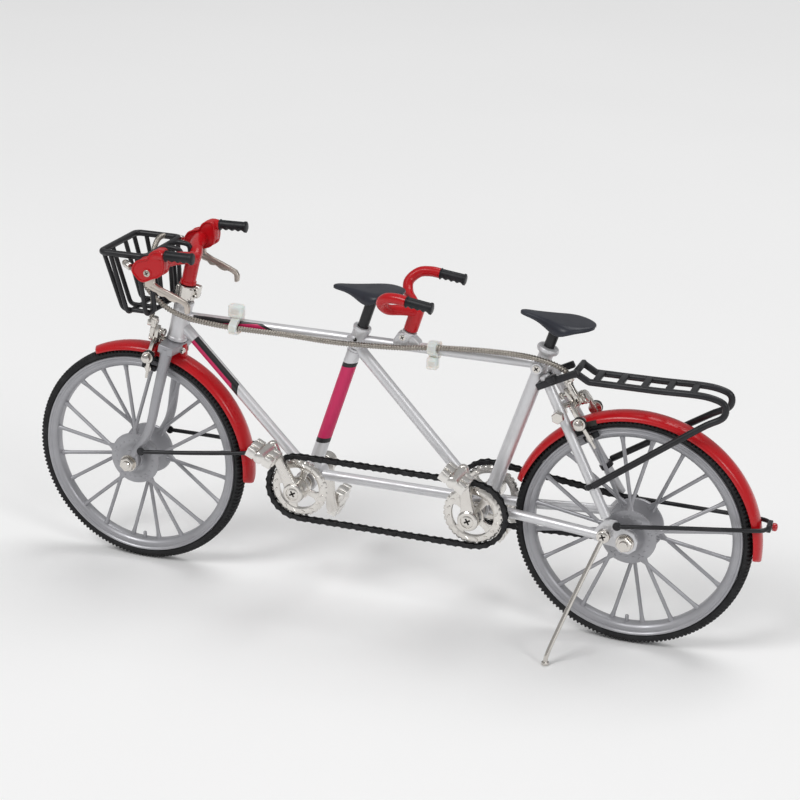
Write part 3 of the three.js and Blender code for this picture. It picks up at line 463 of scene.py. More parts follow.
braid = plated("cable_braid", (0.40, 0.37, 0.33), (0.22, 0.20, 0.18), (0.3, 0.5), 1500)
nylon_nodes = dull("clear_nylon", (0.94, 0.91, 0.84), (0.86, 0.83, 0.76), (0.25, 0.38), 700, 0.00002)
nylon_nodes.set(Subsurface_Weight=0.25, IOR=1.5)
nylon = nylon_nodes.material
lens_nodes = dull("red_lens", (0.55, 0.004, 0.012), (0.40, 0.002, 0.008), (0.1, 0.2), 900, 0.00001, 0.8)
lens_nodes.set(Transmission_Weight=0.15)
lens = lens_nodes.material

# Silver tubes with decals: magenta and black areas laid over the same paint.
MAGENTA, BLACK = (0.58, 0.008, 0.10), (0.008, 0.008, 0.010)


def decal_paint(name, magenta_area, black_area):
    """Silver paint under two areas, each a function from the node helper to a 0-or-1 mask; black is on top."""
    n = metal_paint(name, SILVER_BASE, SILVER_DARK)
    paint = n.bsdf.inputs["Base Color"].links[0].from_socket
    in_magenta, in_black = magenta_area(n), black_area(n)
    tint = n.mix(in_black, n.mix(in_magenta, paint, MAGENTA), BLACK)
    n.colour(tint)
    covered = n.math("MAXIMUM", in_magenta, in_black)
    n.link(n.math("MULTIPLY_ADD", covered, -0.6, 0.6), n.bsdf.inputs["Metallic"])
    return n.material


# ---------------------------------------------------------------- dimensions shared with the CAD
GAP = 0.3
HUB_Z = 34.0
FRONT_HUB, REAR_HUB = V(-76.5, 0, HUB_Z), V(76.5, 0, HUB_Z)
FRONT_BB, REAR_BB = joint_at("front_crank_spin"), joint_at("rear_crank_spin")
STEER_UP = unit(JOINTS["steer"]["axis"])
STEER_FRONT = V(-STEER_UP[2], 0, STEER_UP[0])
steer_ref = joint_at("steer")
STEER_SLOPE, SEAT_SLOPE = 0.236, 0.327  # how far each tube leans back for each mm up
SEAT_REF_Z = 47.2  # the height at which the two seat tubes' places are given
SEAT_UP = unit(V(SEAT_SLOPE, 0, 1))


def steer(z, y=0.0):
    return V(steer_ref[0] + STEER_SLOPE * (z - steer_ref[2]), y, z)


def front_seat(z):
    return V(-17 + SEAT_SLOPE * (z - SEAT_REF_Z), 0, z)


def rear_seat(z):
    return V(37.5 + SEAT_SLOPE * (z - SEAT_REF_Z), 0, z)


# ---------------------------------------------------------------- small hardware
def cross_screw(at, axis, r=1.0, height=0.4, turn=0.4, mats=(0, 1)):
    """A domed screw head with its cross slots drawn as dark bars of painted shade; axis points out of the
    head.
    """
    axis = unit(axis)
    u, w = square_to(axis)
    dome = [(0.96, -0.3 / height), (1, 0), (0.97, 0.5), (0.8, 0.86), (0.45, 1), (0, 1)]
    out = spin([(r * q, height * t) for q, t in dome], np.array(at, float), axis, 28, mats[0])
    # two dark bars make the cross: painted shade standing in for the depth of the slots
    for k in range(2):
        a = turn + k * math.pi / 2
        d = math.cos(a) * u + math.sin(a) * w
        e = np.cross(axis, d)
        out.join(block(r * 1.15, r * 0.3, 0.12, np.array(at) + axis * (height - 0.02), 0.03, mats[1],
                       (d, e, axis), 1))
    return out


def hex_nut(at, axis, r, height, turn=0.2, mat=0):
    e = min(0.2, height * 0.25)
    return spin([(r * 0.6, 0), (r - e, 0), (r, e), (r, height - e), (r - e, height), (r * 0.45, height)],
                np.array(at, float), axis, 6, mat, turn)


def knurled(at, axis, r, height, teeth=18, mat=0):
    """A thumb nut with a ribbed rim."""
    axis = unit(axis)
    u, w = square_to(axis)
    verts = []
    for q, t in [(0.7, 0), (0.96, 0.02), (1, 0.2), (1, 0.8), (0.96, 0.98), (0.6, 1)]:
        for k, a in enumerate(circle(teeth * 4)):
            rib = 1 - (0.07 if q > 0.9 and k % 4 in (2, 3) else 0)
            verts.append(np.array(at) + axis * t * height + r * q * rib * (math.cos(a) * u + math.sin(a) * w))
    return skin(verts, teeth * 4, False, mat)


# ---------------------------------------------------------------- wheels and tyres
TREAD_RIBS, TREAD_DEPTH = 168, 0.42


def tyre_shape(hub):
    """A tyre whose tread is cut into cross ribs; a profile point is radius, y, and 1 on the tread."""
    prof = [(31.55, -1.9, 0), (32.0, -2.3, 0), (32.7, -2.5, 0), (33.2, -2.42, 1), (33.7, -2.0, 1),
            (33.95, -1.2, 1), (34.0, -0.4, 1)]
    prof = prof + [(r, -y, k) for r, y, k in reversed(prof)]
    prof += [(31.6, 0.9, 0), (31.6, -0.9, 0)]
    verts = []
    for r, y, tread in prof:
        for k, a in enumerate(circle(TREAD_RIBS * 4)):
            groove = TREAD_DEPTH if tread and k % 4 in (0, 1) else 0
            verts.append(side_point(hub, r - groove, a, y * (0.95 if groove else 1)))
    return skin(verts, TREAD_RIBS * 4, True)


SPOKE_PAIRS = 10


def wheel_shape(hub):
    out = Shape()
    rim = [(28.3, -1.0), (28.5, -1.6), (29.3, -2.2), (29.9, -2.3), (30.1, -2.15), (30.6, -2.15), (30.9, -2.4),
           (31.3, -2.4), (31.45, -2.1), (31.5, -1.5)]
    rim = rim + [(r, -y) for r, y in reversed(rim)]
    rim.append(rim[0])
    out.join(spin(rim, hub, Y_AXIS, 144))
    half = [(1.3, -6), (2.6, -6), (2.8, -5.8), (2.85, -5.25), (4.2, -5.15), (4.5, -5.35), (7.3, -5.3),
            (7.9, -5.05), (8.0, -4.6), (7.8, -4.1), (4.4, -3.7), (3.3, -3.0)]
    body = half + [(r, -y) for r, y in reversed(half)]
    body.append(body[0])
    out.join(spin(body, hub, Y_AXIS, 56))
    for i in range(SPOKE_PAIRS):
        side = 1 if i % 2 else -1
        middle = (i + 0.5) / SPOKE_PAIRS * 2 * math.pi
        for swing in (-1, 1):
            at_hub, at_rim = middle - swing * 0.1, middle + swing * math.pi / (2 * SPOKE_PAIRS)
            start = hub + V(6.6 * math.cos(at_hub), side * 4.6, 6.6 * math.sin(at_hub))
            end = hub + V(28.9 * math.cos(at_rim), side * 0.6, 28.9 * math.sin(at_rim))
            bulge = lambda t, a: 0.56 + 0.34 * max(0, 1 - t * 9) + 0.3 * max(0, t * 9 - 8)
            out.join(sweep([start, end], bulge, 12, 20, first=Y_AXIS))
        # cast rivet heads on each flange
        for s in (-1, 1):
            for k in (0.0, 0.5):
                a = (i + k) / SPOKE_PAIRS * 2 * math.pi
                centre = hub + V(6.0 * math.cos(a), s * 5.2, 6.0 * math.sin(a))
                out.join(spin([(0.42, 0), (0.36, 0.18), (0.2, 0.26), (0, 0.28)], centre, V(0, s, 0), 12))
    # valve boss inside the rim
    out.join(rod(hub + V(0, 0, -28.6), hub + V(0, 0, -26.4), 0.55, 16))
    return out


for label, hub in (("front", FRONT_HUB), ("rear", REAR_HUB)):
    piece(f"{label}_wheel_casting", wheel_shape(hub), cast, f"{label}_wheel_set", f"{label}_wheel")
    piece(f"{label}_tyre_tread", tyre_shape(hub), tyre_black, f"{label}_wheel_set", f"{label}_tyre",
          30)


def axle_shape(hub, left, right):
    out = rod(hub + V(0, left - 2.0, 0), hub + V(0, right + 2.0, 0), 1.15, 28, 0, 0.3)
    for face, s in ((left, -1), (right, 1)):
        at = hub + V(0, face + s * GAP * 0.3, 0)
        out.join(spin([(1.2, 0), (2.55, 0), (2.65, 0.12), (2.55, 0.3), (1.2, 0.3)], at, V(0, s, 0), 36))
        out.join(hex_nut(at + V(0, s * 0.3, 0), V(0, s, 0), 2.3, 1.5, 0.3))
        for k in range(4):
            out.join(spin([(1.16, 0), (1.22, 0.08), (1.16, 0.16)], at + V(0, s * (1.75 + 0.16 * k), 0),
                          V(0, s, 0), 28))
    return out


piece("rear_axle_nuts", axle_shape(REAR_HUB, -9.2, 10.2), nickel, "frame", "rear_axle")
piece("front_axle_nuts", axle_shape(FRONT_HUB, -9.2, 9.2), nickel, "steerer", "front_axle")

# ---------------------------------------------------------------- frame tubes
TOP_Z = 79.65
down_from, down_to = V(-61.5, 0, 76.75), FRONT_BB + V(-0.2, 0, 0)
down_dir = unit(down_to - down_from)
down_up = V(-down_dir[2], 0, down_dir[0])
down_mid, down_start = float(down_up @ down_from), float(down_dir @ down_from)


STRIPE_TOP = ((0, 0, -1), -(TOP_Z + 1.15))
STRIPE_START = (X_AXIS, -57.8)


def slant(end):
    """The stripe ends on a slant, 2.7 times as long as it is high."""
    return ((-1, 0, -2.7), end - 2.7 * TOP_Z)


def top_magenta(n):
    return n.inside(STRIPE_START, STRIPE_TOP, slant(34.8), (Z_AXIS, TOP_Z - 1.25))


def top_black(n):
    wedge = n.inside(STRIPE_START, STRIPE_TOP, slant(34.8), ((-0.1, 0, 1), TOP_Z + 4.7))
    whole = n.inside(STRIPE_START, STRIPE_TOP, slant(32.6), (Z_AXIS, TOP_Z - 1.25))
    tail = n.math("MULTIPLY", whole, n.math("SUBTRACT", 1.0, top_magenta(n)))
    return n.math("MAXIMUM", wedge, tail)


def down_area(n, across_from, across_to, end):
    lean = -0.9
    return n.inside(
        (down_dir, down_start + 5.2),
        (tuple(-down_dir + lean * down_up), -(down_start + end) + lean * down_mid),
        (down_up, down_mid + across_from),
        (tuple(-down_up), -(down_mid + across_to)),
    )


top_paint = decal_paint("top_tube_paint", top_magenta, top_black)
down_paint = decal_paint(
    "down_tube_paint",
    lambda n: down_area(n, -1.25, 0.35, 22.5),
    lambda n: n.math("MAXIMUM", down_area(n, 0.35, 1.58, 22.5),
                     n.math("MULTIPLY", down_area(n, -1.25, 1.58, 25.2),
                            n.math("SUBTRACT", 1.0, down_area(n, -1.25, 1.58, 22.5)))),
)
seat_paint = decal_paint(
    "front_seat_tube_paint",
    lambda n: n.inside((Z_AXIS, 48.2), ((0, 0, -1), -72.0)),
    lambda n: n.math("MAXIMUM", n.inside((Z_AXIS, 71.4), ((0, 0, -1), -72.7)),
                     n.inside((Z_AXIS, 46.9), ((0, 0, -1), -48.4))),
)

# head tube, with a bead at each end
head = spin([(1.85, 0), (2.85, 0), (3.0, 0.15), (3.0, 1.0), (2.8, 1.25), (2.8, 11.25), (3.0, 11.5),
             (3.0, 12.3), (2.85, 12.5), (1.85, 12.5), (1.85, 0)],
            steer(72.4), STEER_UP, 56)
piece("head_tube_turned", head, silver, "frame", "head_tube")

# top tube with the front seat lug, the stoker's foot, a bolt, and a dark disc of painted shade where the lug
# has a hole
top = rod(V(-60.6, 0, TOP_Z), V(46.3, 0, TOP_Z), 1.5, 40)
lug_r = 2.4
top.join(spin([(1.72, 0), (lug_r - 0.2, 0), (lug_r, 0.3), (lug_r + 0.02, 5.2), (lug_r + 0.25, 5.6),
               (lug_r + 0.3, 6.4), (lug_r + 0.15, 6.75), (1.72, 6.75), (1.72, 0)],
              front_seat(77.4), SEAT_UP, 44))
for s in (-1, 1):
    top.join(sweep([V(-9.5, s * 0.4, TOP_Z + 0.2), V(-6.6, s * 1.6, TOP_Z + 0.9),
                    V(-4, s * 0.5, TOP_Z + 0.3)], 0.9, 14, 10))
top.join(prism([(4.6, 79.3), (4.6, 81.4), (6.1, 83.8), (9.2, 84.2), (12.4, 81.5), (12.9, 79.3)], -1.75, 1.75,
               0.55, 0, segments=3))
top.join(rod(V(7.9, 0, 80.5), V(9.25, 0, 84.2), 2.15, 32))
top.join(rod(V(7.7, -2.35, 82.7), V(7.7, -1.4, 82.7), 1.35, 32))
top.join(cross_screw(V(7.7, -2.3, 82.7), V(0, -1, 0), 0.95, 0.15, 0.4, (1, 2)))
top.join(rod(V(7.7, 2.35, 82.7), V(7.7, 1.4, 82.7), 1.25, 28))
# a thin dark disc on the side of the lug: painted shade for the hole
top.join(spin([(0.62, 0), (0.5, 0.06), (0, 0.07)], front_seat(80.3) + V(-0.3, -lug_r + 0.02, 0), V(0, -1, 0),
              20, 2))
piece("top_tube_with_lugs", top, [top_paint, nickel, painted_shade], "frame", "top_tube")

down = rod(down_from - down_dir * 0.4, down_to - down_dir * 2.8, 1.65, 40)
piece("down_tube_striped", down, down_paint, "frame", "down_tube")


def bb_shell(centre):
    """A bottom bracket shell with raised end rings."""
    prof = [(1.75, -5.5), (3.05, -5.5), (3.25, -5.3), (3.25, -4.3), (3.05, -4.0), (3.05, 4.0), (3.25, 4.3),
            (3.25, 5.3), (3.05, 5.5), (1.75, 5.5), (1.75, -5.5)]
    return spin(prof, centre, Y_AXIS, 48)


seat_front = rod(front_seat(38.2), front_seat(77.1), 2.05, 40).join(bb_shell(FRONT_BB))
for z, r in ((72.55, 2.12), (75.8, 2.2)):
    seat_front.join(spin([(2.0, 0), (r, 0.1), (r, 0.5), (2.0, 0.6)], front_seat(z), SEAT_UP, 40))
piece("front_seat_tube_banded", seat_front, seat_paint, "frame", "front_seat_tube")

seat_rear = rod(rear_seat(38.4), rear_seat(85.0), 2.05, 40).join(bb_shell(REAR_BB))
seat_rear.join(spin([(1.72, 0.3), (2.3, 0), (2.95, 0.25), (3.15, 0.75), (3.15, 1.2), (2.9, 1.65), (2.3, 1.9),
                     (1.72, 1.7), (1.72, 0.3)],
                    rear_seat(83.35), SEAT_UP, 44))
cluster = rear_seat(78.9)
seat_rear.join(rod(cluster + V(-0.6, -2.9, 0), cluster + V(-0.6, 2.2, 0), 1.75, 36))
seat_rear.join(cross_screw(cluster + V(-0.6, -2.85, 0), V(0, -1, 0), 1.2, 0.18, 0.7, (1, 2)))
piece("rear_seat_tube_with_collar", seat_rear, [silver, nickel, painted_shade], "frame", "rear_seat_tube")

diagonal = rod(V(-6.4, 0, 77.4), V(31.0, 0, 37.6), 1.65, 40)
piece("diagonal_tube_round", diagonal, silver, "frame", "diagonal_tube")
bottom = rod(V(-17, 0, 36.2), V(29.1, 0, 36.2), 1.55, 40)
piece("bottom_tube_round", bottom, silver, "frame", "bottom_tube")

# rear triangle
STAY_R = 1.45
dropout_outline = [
    (67.6, 36.4), (67.6, 33.4), (70.2, 32.6), (73.6, 32.2), (75, 30.9), (77.6, 30.6),
    (79.6, 32.2), (80, 34.6), (78.8, 36.9), (75.6, 38.2), (73.6, 40), (70.6, 40.2),
]
stay_left = sweep([V(36.2, -3.9, 35.6), V(52, -6.2, 35.4), V(69.4, -8.5, 34.9)], STAY_R, 24, 24)
stay_left.join(prism(dropout_outline, -9.2, -8.2, 0.25))
stay_left.join(rod(V(70.9, -10.2, 36.2), V(70.9, -8.4, 36.2), 1.2, 24))
piece("chainstay_left_bar", stay_left, silver, "frame", "chainstay_left")
stay_right = sweep([V(36.2, 3.7, 35.6), V(44.5, 4.1, 35.5), V(58, 7.2, 35.2), V(69.4, 9.5, 34.9)], STAY_R, 24,
                   24)
stay_right.join(prism(dropout_outline, 9.3, 10.2, 0.25))
piece("chainstay_right_bar", stay_right, silver, "frame", "chainstay_right")

BRIDGE = V(54.3, 0, 67.7)
BRAKE_BACK = unit(V(0.853, 0, 0.522))
seatstay_left = sweep([V(50.1, -4.2, 77.8), V(70.7, -8.55, 40.6)], STAY_R, 24, 16)
seatstay_left.join(rod(V(BRIDGE[0], -5, BRIDGE[2]), V(BRIDGE[0], 3.4, BRIDGE[2]), 1, 24))
seatstay_left.join(rod(BRIDGE, BRIDGE + BRAKE_BACK * 8, 0.8, 20, 1))
seatstay_left.join(hex_nut(BRIDGE + BRAKE_BACK * 7.3, BRAKE_BACK, 1.5, 1.0, 0.1, 1))
seatstay_left.join(hex_nut(V(55.4, -8.9, 67.6), Y_AXIS, 1.75, 2.0, 0.3, 1))
seatstay_left.join(hex_nut(V(55.0, -4.2, 67.6), Y_AXIS, 1.75, 2.2, 0.3, 1))
piece("seatstay_left_bar", seatstay_left, [silver, nickel], "frame", "seatstay_left")
seatstay_right = sweep([V(49.9, 4.2, 77.6), V(70.4, 9.95, 40.6)], STAY_R, 24, 16)
piece("seatstay_right_bar", seatstay_right, silver, "frame", "seatstay_right")

# ---------------------------------------------------------------- fork and head fittings
def fork_leg(s):
    path = [steer(70.9, s * 5.6), steer(66, s * 5.75), steer(56, s * 6.2), steer(44, s * 7.4),
            V(-75.3, s * 8.7, 36.5)]
    taper = lambda t, a: 1.72 - 0.5 * t + (0.25 * max(0, 1 - t * 6))
    leg = sweep(path, taper, 24, 36)
    tip = [(-79.4, 34), (-78.6, 31.6), (-76.5, 30.8), (-74.3, 31.7), (-73.4, 34), (-73.6, 38), (-76.6, 38)]
    return leg.join(prism(tip, s * 8.2, s * 9.2, 0.25))


crown_axes = (-STEER_FRONT, Y_AXIS, STEER_UP)
fork = fork_leg(-1).join(fork_leg(1))
crown_outline = [(-2.3, -7.1), (-1.2, -7.3), (1.2, -7.3), (2.3, -7.1), (2.75, -3.5), (2.9, 0), (2.75, 3.5),
                 (2.3, 7.1), (1.2, 7.3), (-1.2, 7.3), (-2.3, 7.1), (-2.75, 3.5), (-2.9, 0), (-2.75, -3.5)]
fork.join(prism(crown_outline, -1.35, 1.25, 0.35, 0, (crown_axes[0], crown_axes[2], crown_axes[1]),
                steer(70.8), 3))
fork.join(spin([(2.2, 0), (3.0, 0.1), (3.1, 0.4), (3.1, 0.9), (2.2, 1.0)], steer(71.3), STEER_UP, 40))
fork.join(rod(steer(70.5), steer(89.5), 1.6, 32))
fork.join(rod(steer(70.8), steer(70.8) + STEER_FRONT * 8, 0.8, 20, 1))
fork.join(hex_nut(steer(70.8) + STEER_FRONT * 7.3, STEER_FRONT, 1.5, 1.0, 0.1, 1))
piece("fork_casting", fork, [cast, nickel], "steerer", "fork")

clamp = spin([(1.95, 0), (2.6, 0), (2.8, 0.2), (2.8, 4.2), (2.6, 4.4), (1.95, 4.4), (1.95, 0)], steer(85.4),
             STEER_UP, 44)
ear_at = steer(87.6) + V(1.6, 1.4, 0)
ear_axes = (V(STEER_UP[2], 0, -STEER_UP[0]), Y_AXIS, STEER_UP)
clamp.join(block(4.2, 2.4, 3.8, ear_at, 0.35, 0, ear_axes))
clamp.join(block(5.4, 4.6, 3.9, steer(87.6), 0.5, 0, ear_axes, 3))
for dz in (-0.95, 0.95):
    at = ear_at + STEER_UP * dz + ear_axes[0] * 1.3
    clamp.join(rod(at + V(0, -2.1, 0), at + V(0, 1.8, 0), 0.62, 20, 0))
    # a thin dark hexagon on each bolt's end: painted shade for its hex socket
    clamp.join(spin([(0.34, 0), (0.3, 0.05), (0, 0.06)], at + V(0, -2.1, 0), V(0, -1, 0), 6, 1))
piece("stem_clamp_block", clamp, [nickel, painted_shade], "steerer", "stem_clamp")

# ---------------------------------------------------------------- front bar with its hoods
HOOD_Y = 17.0
bar_side = [V(-57.7, -0.2, 97.4), V(-58.6, -3.4, 98.7), V(-60.8, -8, 99.3), V(-62.2, -12.4, 99.4),
            V(-62.8, -16.2, 99.4)]
neck_side = [V(-61.8, -16.9, 101.8), V(-60.6, -17.4, 103), V(-58.1, -18.1, 103.3)]
hood_outline = [
    (-67.3, 96.4), (-68.2, 97.4), (-68.4, 98.4), (-67.8, 99.8), (-66.8, 100.9), (-65.2, 101.5), (-63.4, 102),
    (-62.8, 102.8),
    (-62.1, 103.9), (-61, 104.6), (-59.8, 104.8), (-58.9, 104.7), (-58.3, 103.6), (-58.05, 102), (-58, 100.5),
    (-58.2, 99),
    (-58.6, 97.9), (-60, 96.8), (-61.8, 96.2), (-63.4, 95.4), (-65, 94.9), (-66.3, 95.4),
]


def hood(s):
    centre_y = s * HOOD_Y
    out = Shape()
    # two cheeks with a slot between them, and a solid crest over the top
    for side in (-1, 1):
        y0, y1 = centre_y + side * 0.9, centre_y + side * 1.95
        out.join(prism(hood_outline, y0, y1, 0.42, 0, segments=3))
    crest = [p for p in hood_outline if p[1] > 98.2 or p[0] < -67.0]
    out.join(prism(crest, centre_y - 1.2, centre_y + 1.2, 0.3))
    # a raised bead follows the outer edge of each cheek
    middle = np.mean(np.array(hood_outline), 0)
    for side in (-1, 1):
        loop = [V(middle[0] + (x - middle[0]) * 0.93, centre_y + side * 1.93,
                  middle[1] + (z - middle[1]) * 0.93) for x, z in hood_outline]
        out.join(sweep(loop + [loop[0]], 0.3, 8, 90))
        # the lever's pivot screw on a small boss
        out.join(spin([(1.5, 0), (1.45, 0.25), (1.1, 0.32)], V(-63.4, centre_y + side * 1.85, 97.8),
                      V(0, side, 0), 32))
        out.join(cross_screw(V(-63.4, centre_y + side * 2.1, 97.8), V(0, side, 0), 1.05, 0.3, 0.5, (1, 2)))
    return out


front_bar = rod(steer(90.0), steer(98.6), 2.1, 36)
front_bar.join(spin([(2.1, 0), (2.35, 0.1), (2.35, 0.9), (2.1, 1.1)], steer(90.0), STEER_UP, 36))
for path in (bar_side, mirror(bar_side)):
    front_bar.join(sweep(path, lambda t, a: 1.75 + 0.45 * t, 24, 40))
for path in (neck_side, mirror(neck_side)):
    front_bar.join(sweep(path, lambda t, a: 1.9 - 0.3 * t, 24, 20))
front_bar.join(spin([(2.1, 0), (1.95, 0.5), (1.4, 1.0), (0, 1.2)], steer(98.4), STEER_UP, 32))
front_bar.join(hood(-1)).join(hood(1))
piece("front_handlebar_hoods", front_bar, [red, champagne, painted_shade], "steerer", "front_handlebar",
      30)


def grip_shape(start, end, r, waves=4):
    """A grip whose underside is scalloped for the fingers."""
    down = V(0, 0, -1)

    def radius(t, a):
        under = max(0.0, math.cos(a)) ** 1.5
        wave = 0.5 - 0.5 * math.cos(2 * math.pi * waves * min(1, t * 1.08))
        rim = 0.12 if t > 0.93 or t < 0.04 else 0.0
        return r * (1 + 0.02 + rim) - (0.42 * under * wave if t < 0.93 else 0)

    body = sweep([start, end], radius, 28, 60, 0, down, 0.94)
    axis = unit(end - start)
    body.join(spin([(r * 0.55, 0), (r * 0.5, 0.1), (0, 0.12)], end, axis, 24))
    return body


for label, s in (("left", -1), ("right", 1)):
    piece(f"front_grip_{label}_moulded", grip_shape(V(-57.7, s * 18.1, 103.3), V(-49.3, s * 18.4, 103.4),
                                                    1.5), grip_black, "steerer", f"front_grip_{label}",
                                                    50)

# levers
lever_outline = [
    (-1.2, 0.2), (-1.6, -2.2), (-1.5, -4.1), (0.8, -5.3), (2.0, -5.6), (2.8, -6.5), (3.9, -6.6), (4.8, -6.5),
    (6.1, -7.5), (7.6, -7.9),
    (8.6, -7.7), (9.8, -8.1), (10.7, -8.8), (10.8, -10.8), (11.4, -11), (12.1, -10.6), (12.3, -8.8),
    (11.4, -7.4), (9.5, -6.5), (6.4, -5.2), (3.4, -4.1), (1.4, -3.0), (1.2, 0.2),
]
for label, s in (("left", -1), ("right", 1)):
    pivot = joint_at(f"brake_lever_{label}_pull")
    shape = prism([(pivot[0] + x, pivot[2] + z) for x, z in lever_outline], s * HOOD_Y - 0.65,
                  s * HOOD_Y + 0.65, 0.28, segments=3)
    shape.join(rod(V(pivot[0], s * HOOD_Y - 0.65, pivot[2]), V(pivot[0], s * HOOD_Y + 0.65, pivot[2]), 1.4,
                   32))
    rib = [V(pivot[0] + x, s * HOOD_Y, pivot[2] + z) for x,
           z in ((0.2, -4.2), (3, -5.2), (6, -6.4), (9.4, -7.4), (11.3, -8.6), (11.6, -10.6))]
    shape.join(sweep(rib, lambda t, a: 0.85 - 0.25 * t, 14, 30))
    piece(f"brake_lever_{label}_blade", shape, champagne, f"brake_lever_{label}", f"brake_lever_{label}",
          45)

# ---------------------------------------------------------------- basket
def rounded(corners, r, steps=6, closed=False):
    """Points along straight runs joined by round bends of radius r."""
    pts = [np.array(c, float) for c in corners]
    out = [] if closed else [pts[0]]
    index = range(len(pts)) if closed else range(1, len(pts) - 1)
    for i in index:
        a, b, c = pts[i - 1], pts[i], pts[(i + 1) % len(pts)]
        d1, d2 = unit(a - b), unit(c - b)
        half = math.acos(max(-1, min(1, float(d1 @ d2)))) / 2
        reach = min(r / math.tan(half), np.linalg.norm(a - b) * 0.45, np.linalg.norm(c - b) * 0.45)
        p, q = b + d1 * reach, b + d2 * reach
        for k in range(steps + 1):
            t = k / steps
            out.append((1 - t) ** 2 * p + 2 * t * (1 - t) * b + t * t * q)
    if closed:
        out.append(out[0])
    else:
        out.append(pts[-1])
    return out


def wire(corners, r, bend, sides=14, closed=False):
    """A round wire through the corners, with the polyline's own bends kept."""
    pts = np.array(rounded(corners, bend, 6, closed))
    keep = [pts[0]]
    for p in pts[1:]:
        if np.linalg.norm(p - keep[-1]) > 1e-3:
            keep.append(p)
    path = np.array(keep)
    _, normals, across = path_frames(path)
    verts = [
        p + r * (math.cos(a) * u + math.sin(a) * w)
        for p, u, w in zip(path, normals, across) for a in circle(sides)
    ]
    return skin(verts, sides)


TOP, BOT, FT, RT, FB, RB, HT, HB = 100, 82.5, -82.2, -67.6, -77, -66.6, 11.4, 10
basket = wire([V(FT, -HT, TOP), V(RT, -HT, TOP), V(RT, HT, TOP), V(FT, HT, TOP)], 0.95, 2.2, 16, True)
for t in (-0.84, -0.34, 0.34, 0.84):
    basket.join(wire([V(FT, t * HT, TOP), V(FB, t * HB, BOT), V(RB, t * HB, BOT), V(RT, t * HT, TOP)], 0.68,
                     2.0))
for t in (0.22, 0.8):
    x_top, x_bot = FT + t * (RT - FT), FB + t * (RB - FB)
    basket.join(wire([V(x_top, -HT, TOP), V(x_bot, -HB, BOT - 0.5), V(x_bot, HB, BOT - 0.5),
                      V(x_top, HT, TOP)], 0.68, 2.0))
for side in (-1, 1):
    hook = [V(RT, side * 3, TOP), V(-64.4, side * 3, 101.2), V(-60.4, side * 3, 100.9),
            V(-60.4, side * 3, 97.2)]
    basket.join(wire(hook, 0.75, 1.8))
# lower bracket: a flat strap from the bottom wires back to the clamp
basket.join(prism([(-67.2, 84.2), (-67.2, 85.4), (-63.4, 88.2), (-62.6, 87.6), (-62.6, 86.2), (-65.6, 84.2)],
                  -1.6, 1.6, 0.3))
piece("basket_wires", basket, wire_black, "steerer", "basket", 60)

# ---------------------------------------------------------------- fenders and their stays
def fender_shape(cx, cz, start, end):
    """A thin shell with rolled edges, swept round an arc with rounded ends."""
    section = [(34.15, -3.5), (34.35, -3.62), (34.9, -3.5), (35.5, -2.95), (35.95, -1.9), (36.15, -0.8),
               (36.2, 0)]
    outer = section + [(r, -y) for r, y in reversed(section[:-1])]
    inner = [(34.2, 3.2), (34.9, 2.95), (35.3, 2.3), (35.6, 1.3), (35.7, 0)]
    inner = inner + [(r, -y) for r, y in reversed(inner[:-1])]
    loop = outer + inner
    steps = 150
    verts = []
    for i in range(steps + 1):
        t = i / steps
        a = math.radians(start + t * (end - start))
        near_end = min(t, 1 - t) * math.radians(abs(end - start)) * 35
        narrow = 1 if near_end > 2.4 else math.sqrt(max(0.0, 1 - (1 - near_end / 2.4) ** 2)) * 0.55 + 0.45
        for r, y in loop:
            verts.append(side_point(V(cx, 0, cz), r, a, y * narrow))
    return skin(verts, len(loop))


front_fender = fender_shape(-75.6, 33.8, -6, 115)
front_fender.join(block(3.0, 2.4, 4.4, V(-62.4, 0, 68.9), 0.5))
for side in (-1, 1):
    front_fender.join(cross_screw(V(-61.9, side * 1.2, 69.3), V(0, side, 0), 1.25, 0.5, 0.4, (1, 2)))
piece("front_fender_shell", front_fender, [red, nickel, painted_shade], "steerer", "front_fender", 50)
rear_fender = fender_shape(76.8, 33.5, -4, 162)
# a small dark bar at the fender's edge: painted shade where the edge has a notch
notch_axes = (unit(V(0.94, 0, 0.34)), Y_AXIS, unit(V(-0.34, 0, 0.94)))
rear_fender.join(block(3.2, 0.4, 1.5, V(63.8, -3.5, 65.5), 0.12, 1, notch_axes))
piece("rear_fender_shell", rear_fender, [red, painted_shade], "frame", "rear_fender", 50)

front_stay = [V(-71.6, -9.8, 38.6), V(-56, -7.4, 39.7), V(-44, -4.9, 40.6), V(-39.4, -3.6, 41),
              V(-38.1, 0, 41)]
front_loop = front_stay + mirror(front_stay[:-1])[::-1]
rear_stay = [V(74.6, -10.2, 39), V(90, -7.8, 40.2), V(108.5, -4.8, 41.4), V(113.2, -3.4, 41.6),
             V(114.3, 0, 41.6)]
rear_loop = rear_stay + [V(113.2, 3.4, 41.6), V(108.5, 4.8, 41.4), V(90, 8.2, 40.2), V(74.6, 11.3, 39)]
front_bars = sweep(front_loop, 0.62, 12, 90)
rear_bars = sweep(rear_loop, 0.62, 12, 90)
for bars, ends in ((front_bars, ((-71.6, -9.8, 38.6), (-71.6, 9.8, 38.6))),
                   (rear_bars, ((74.6, -10.2, 39), (74.6, 11.3, 39)))):
    for x, y, z in ends:
        s = 1 if y > 0 else -1
        bars.join(spin([(1.2, -0.3), (1.25, 0), (1.2, 0.3), (0, 0.32)], V(x - 0.4, y, z), V(0, s, 0), 24))
piece("front_fender_stay_wire", front_bars, wire_black, "steerer", "front_fender_stay", 60)
rear_bars.join(block(1.3, 4.4, 2.2, V(114.3, 0, 41.6), 0.3))
piece("rear_fender_stay_wire", rear_bars, wire_black, "frame", "rear_fender_stay", 60)
